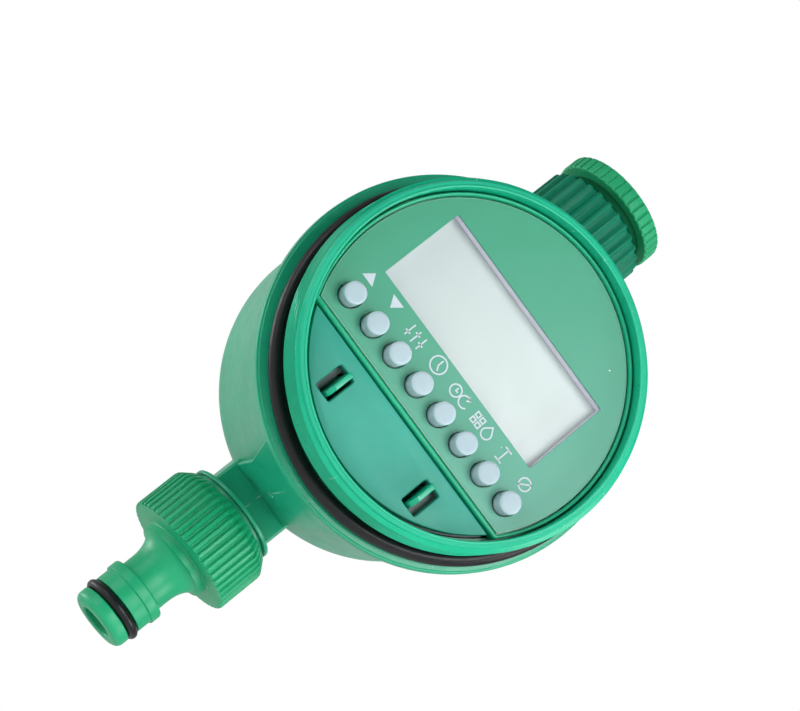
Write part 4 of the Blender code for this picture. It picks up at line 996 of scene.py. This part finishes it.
def legends():
    """Plain printed signs above the keys: arrows, a clock, and simple pictograms."""
    marks = [triangle(-29.9, -6.9, 1.9, 1.35), triangle(-21.8, -6.4, 1.9, -1.35)]
    lines = []
    # Three sliders: settings.
    for x in (-15.1, -13.0, -10.9):
        lines.append([(x, -5.2), (x, -8.7)])
    for x, z in ((-15.1, -7.6), (-13.0, -6.2), (-10.9, -7.2)):
        lines.append([(x - 0.75, z), (x + 0.75, z)])
    # A clock: the time.
    lines.append(arc((-4.7, -6.5), 2.12, 0, 360, 40))
    lines.append([(-4.7, -5.0), (-4.7, -6.6), (-3.9, -7.7)])
    # A clock with an arrow beside it: setting the time.
    lines.append(arc((2.3, -6.8), 1.5, 0, 360, 32))
    lines.append([(2.3, -5.9), (2.3, -6.8), (3.0, -6.8)])
    lines.append(arc((5.6, -6.8), 1.5, 60, 330, 26))
    lines.append([(5.5, -5.0), (6.4, -5.5), (5.7, -6.3)])
    # Four squares and a drop: the watering mode.
    lines += [square(x, z, 0.55) for x in (9.9, 11.6) for z in (-5.9, -7.6)]
    tip = [(14.4, -4.9)]
    lines.append(tip + arc((14.4, -7.1), 1.35, 40, -220, 26) + tip)
    # Water on and water off: a bar and a crossed ring.
    lines += [[(20.7, -5.1), (20.7, -8.6)], [(19.6, -5.1), (21.8, -5.1)]]
    lines += [[(19.6, -8.6), (21.8, -8.6)], arc((29.1, -6.9), 1.55, 0, 360, 32)]
    lines.append([(27.9, -8.1), (30.3, -5.7)])
    marks += [stroke(points) for points in lines]
    for number, mark in enumerate(marks):
        mark.name = f"legend_{number + 1}"
        place(mark, "housing_body", "panel_overlay")


def battery_drawer():
    """The lower face, its two finger slots with softened edges, and the tray behind."""
    green = greens["drawer"]
    profile = [(38.8, -21.25, 2.3), (38.8, -21.25, 0.3), (38.72, -21.33, 0.08), (38.5, -21.55, 0.0)]
    plate = d_loft("drawer_plate", profile, [green], above=False)
    parts = [slab("tray", (-13.0, 1.8, -34.9), (13.0, 51.0, -23.4), green)]
    for left, right in ((-14.6, -12.5), (12.5, 14.6)):
        parts.append(slab("lug", (left, 11.5, -31.4), (right, 14.5, -26.4), green))
    boolean(plate, parts, "UNION")
    cutters = [slab("hollow", (-11.8, 2.9, -34.1), (11.8, 52.0, -22.4), green)]
    for side in (-1, 1):
        centre = (side * SLOT_X, -28.9)
        narrow, wide = boxy(2.45, 3.85, 0.5, centre), boxy(2.7, 4.1, 0.7, centre)
        rings = []
        for shape, y in ((wide, -0.5), (wide, 0.0), (narrow, 0.28), (narrow, 3.5)):
            rings.append([(x, depth(y), height(z)) for x, z in shape])
        cutters.append(loft("slot", rings, [green]))
    sharpen(boolean(plate, cutters, "DIFFERENCE"))
    place(plate, "drawer", "drawer", "battery_drawer")


def slab(name, low, high, material, edge=0.15):
    """A box between two (x, depth, height) corners, its edges along Y softened."""
    half_x, half_z = (high[0] - low[0]) / 2, (high[2] - low[2]) / 2
    centre = ((low[0] + high[0]) / 2, (height(low[2]) + height(high[2])) / 2)
    outline = boxy(half_x, half_z, edge, centre, 2)
    rings = [[(x, y, z) for x, z in outline] for y in (depth(low[1]), depth(high[1]))]
    return loft(name, rings, [material])


def latches():
    """Thumb tabs in the slots: a flat blade whose lower front corner is cut away."""
    green = greens["latch"]
    front, back, bottom, top, half = -3.0, 14.8, -32.5, -25.3, 0.65
    outline = [(front, top, 0.35), (front, bottom + 2.0, 0.3), (front + 1.6, bottom, 0.4)]
    outline += [(back, bottom, 0.2), (back, top, 0.2)]
    outline = rounded(outline, 0.3, closed=True, count=4)
    outline = [(depth(y), height(z)) for y, z in outline]
    for name, side in (("left", -1), ("right", 1)):
        sides = side * 15.55 - half, side * 15.55 + half
        blade = rounded_slab(f"latch_blade_{name}", outline, *sides, [green], 0.22, "X")
        left, right = sorted((side * 16.1, side * 16.65))
        catch = slab("catch", (left, 5.4, -32.0), (right, 6.6, -25.8), green, 0.1)
        boolean(blade, [catch], "UNION")
        place(sharpen(blade), f"latch_{name}_arm", "drawer", f"latch_{name}")


# ---- kept CAD nodes


def dress():
    """Better materials for the pieces whose CAD shape already is right."""
    groups = (
        (inner_grey, "battery_sleeve valve_bonnet gearbox_rear_plate gearbox_front_plate"),
        (grey_rubber, "contact_mat"), (board_green, "circuit_board"),
        (steel, "drawer_contact sleeve_contact nut_retaining_ring motor_can motor_pinion"),
        (cell_black, "battery_1 battery_2"), (lead_red, "motor_lead_red battery_lead_red"),
        (lead_black, "motor_lead_black battery_lead_black"),
        (acetal, "valve_ball inlet_ball_seat outlet_ball_seat"), (black_rubber, "stem_seal"),
    )
    looks = {name: material for material, names in groups for name in names.split()}
    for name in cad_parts:
        if "screw" in name:
            looks[name] = zinc
        elif "gear" in name and "plate" not in name:
            looks[name] = acetal
        elif "washer" in name:
            looks[name] = black_rubber
    for name, material in looks.items():
        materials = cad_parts[name].data.materials
        materials.clear()
        materials.append(material)


# ---- stage


def floor():
    """A pale paper floor well below the hanging timer."""
    reach, drop = 2.5, -0.47
    corners = [(x, y, drop) for x, y in ((-reach, -reach), (reach, -reach), (reach, reach))]
    corners.append((-reach, reach, drop))
    mesh = bpy.data.meshes.new("floor")
    mesh.from_pydata(corners, [], [(0, 1, 2, 3)])
    plane = bpy.data.objects.new("floor", mesh)
    bpy.context.scene.collection.objects.link(plane)
    paper = Nodes("floor_paper")
    tone = paper.spread(paper.noise(3.0), 0.0, 0.2)
    pale, worn = (0.8, 0.8, 0.8, 1.0), (0.76, 0.76, 0.77, 1.0)
    paper.surface("Base Color", paper.blend(tone, pale, worn))
    paper.surface("Roughness", 0.9)
    paper.surface("Emission Color", (0.95, 1.0, 1.0, 1.0))
    paper.surface("Emission Strength", 0.18)
    mesh.materials.append(paper.material)


def studio():
    """A white backdrop that lights the object more from behind than from the camera's side."""
    world = bpy.data.worlds.new("studio")
    bpy.context.scene.world = world
    world.use_nodes = True
    tree = world.node_tree
    new, join = tree.nodes.new, tree.links.new
    sky, apart = tree.nodes["Background"], new("ShaderNodeSeparateXYZ")
    join(new("ShaderNodeTexCoord").outputs["Generated"], apart.inputs[0])
    behind = new("ShaderNodeMapRange")
    join(apart.outputs["Y"], behind.inputs["Value"])
    for key, value in {1: -0.3, 2: 0.8, 3: 0.06, 4: 0.6}.items():
        behind.inputs[key].default_value = value
    strength = new("ShaderNodeMath")
    strength.operation = "MAXIMUM"
    join(behind.outputs["Result"], strength.inputs[0])
    join(new("ShaderNodeLightPath").outputs["Is Camera Ray"], strength.inputs[1])
    join(strength.outputs[0], sky.inputs["Strength"])
    sky.inputs["Color"].default_value = (1.0, 1.0, 1.0, 1.0)


def lamp(name, spot, target, size, power):
    """A square softbox at a spot, in metres, that faces a target."""
    data = bpy.data.lights.new(name, "AREA")
    data.shape = "SQUARE"
    data.size = size
    data.energy = power
    made = bpy.data.objects.new(name, data)
    made.location = spot
    toward = Vector(target) - Vector(spot)
    made.rotation_euler = toward.to_track_quat("-Z", "Y").to_euler()
    bpy.context.scene.collection.objects.link(made)


def stage():
    """The floor, the white studio with its lamps, and the camera at the photo's view."""
    floor()
    studio()
    middle = (0.0, -0.02, -0.09)
    lamp("key_light", (0.32, -1.0, 0.12), middle, 0.5, 8.0)
    lamp("low_light", (-0.20, -0.45, -0.85), middle, 0.9, 4.5)
    lamp("left_light", (-0.95, -0.50, -0.10), middle, 0.6, 3.6)
    lamp("right_light", (0.95, -0.40, 0.10), middle, 0.5, 6.0)
    lamp("rim_light", (-0.72, 0.42, -0.48), middle, 0.5, 7.5)
    lamp("floor_light", (0.30, 1.60, 1.00), (0.0, 1.6, -0.47), 0.9, 10.0)

    data = bpy.data.cameras.new("camera")
    data.sensor_width = 36.0
    data.lens = 108.0
    data.clip_start = 0.01
    camera = bpy.data.objects.new("camera", data)
    camera.location = (-0.06690, -0.57295, -0.28131)
    turn = (120.0407, -47.4002, -29.2561)
    camera.rotation_euler = [math.radians(angle) for angle in turn]
    bpy.context.scene.collection.objects.link(camera)
    bpy.context.scene.camera = camera
    bpy.context.scene.view_settings.view_transform = "Standard"


stage()
housing()
seals()
outlet_connector()
coupling_nut()
tap_adaptor()
control_panel()
display()
buttons()
legends()
battery_drawer()
latches()
dress()
bpy.context.view_layer.update()
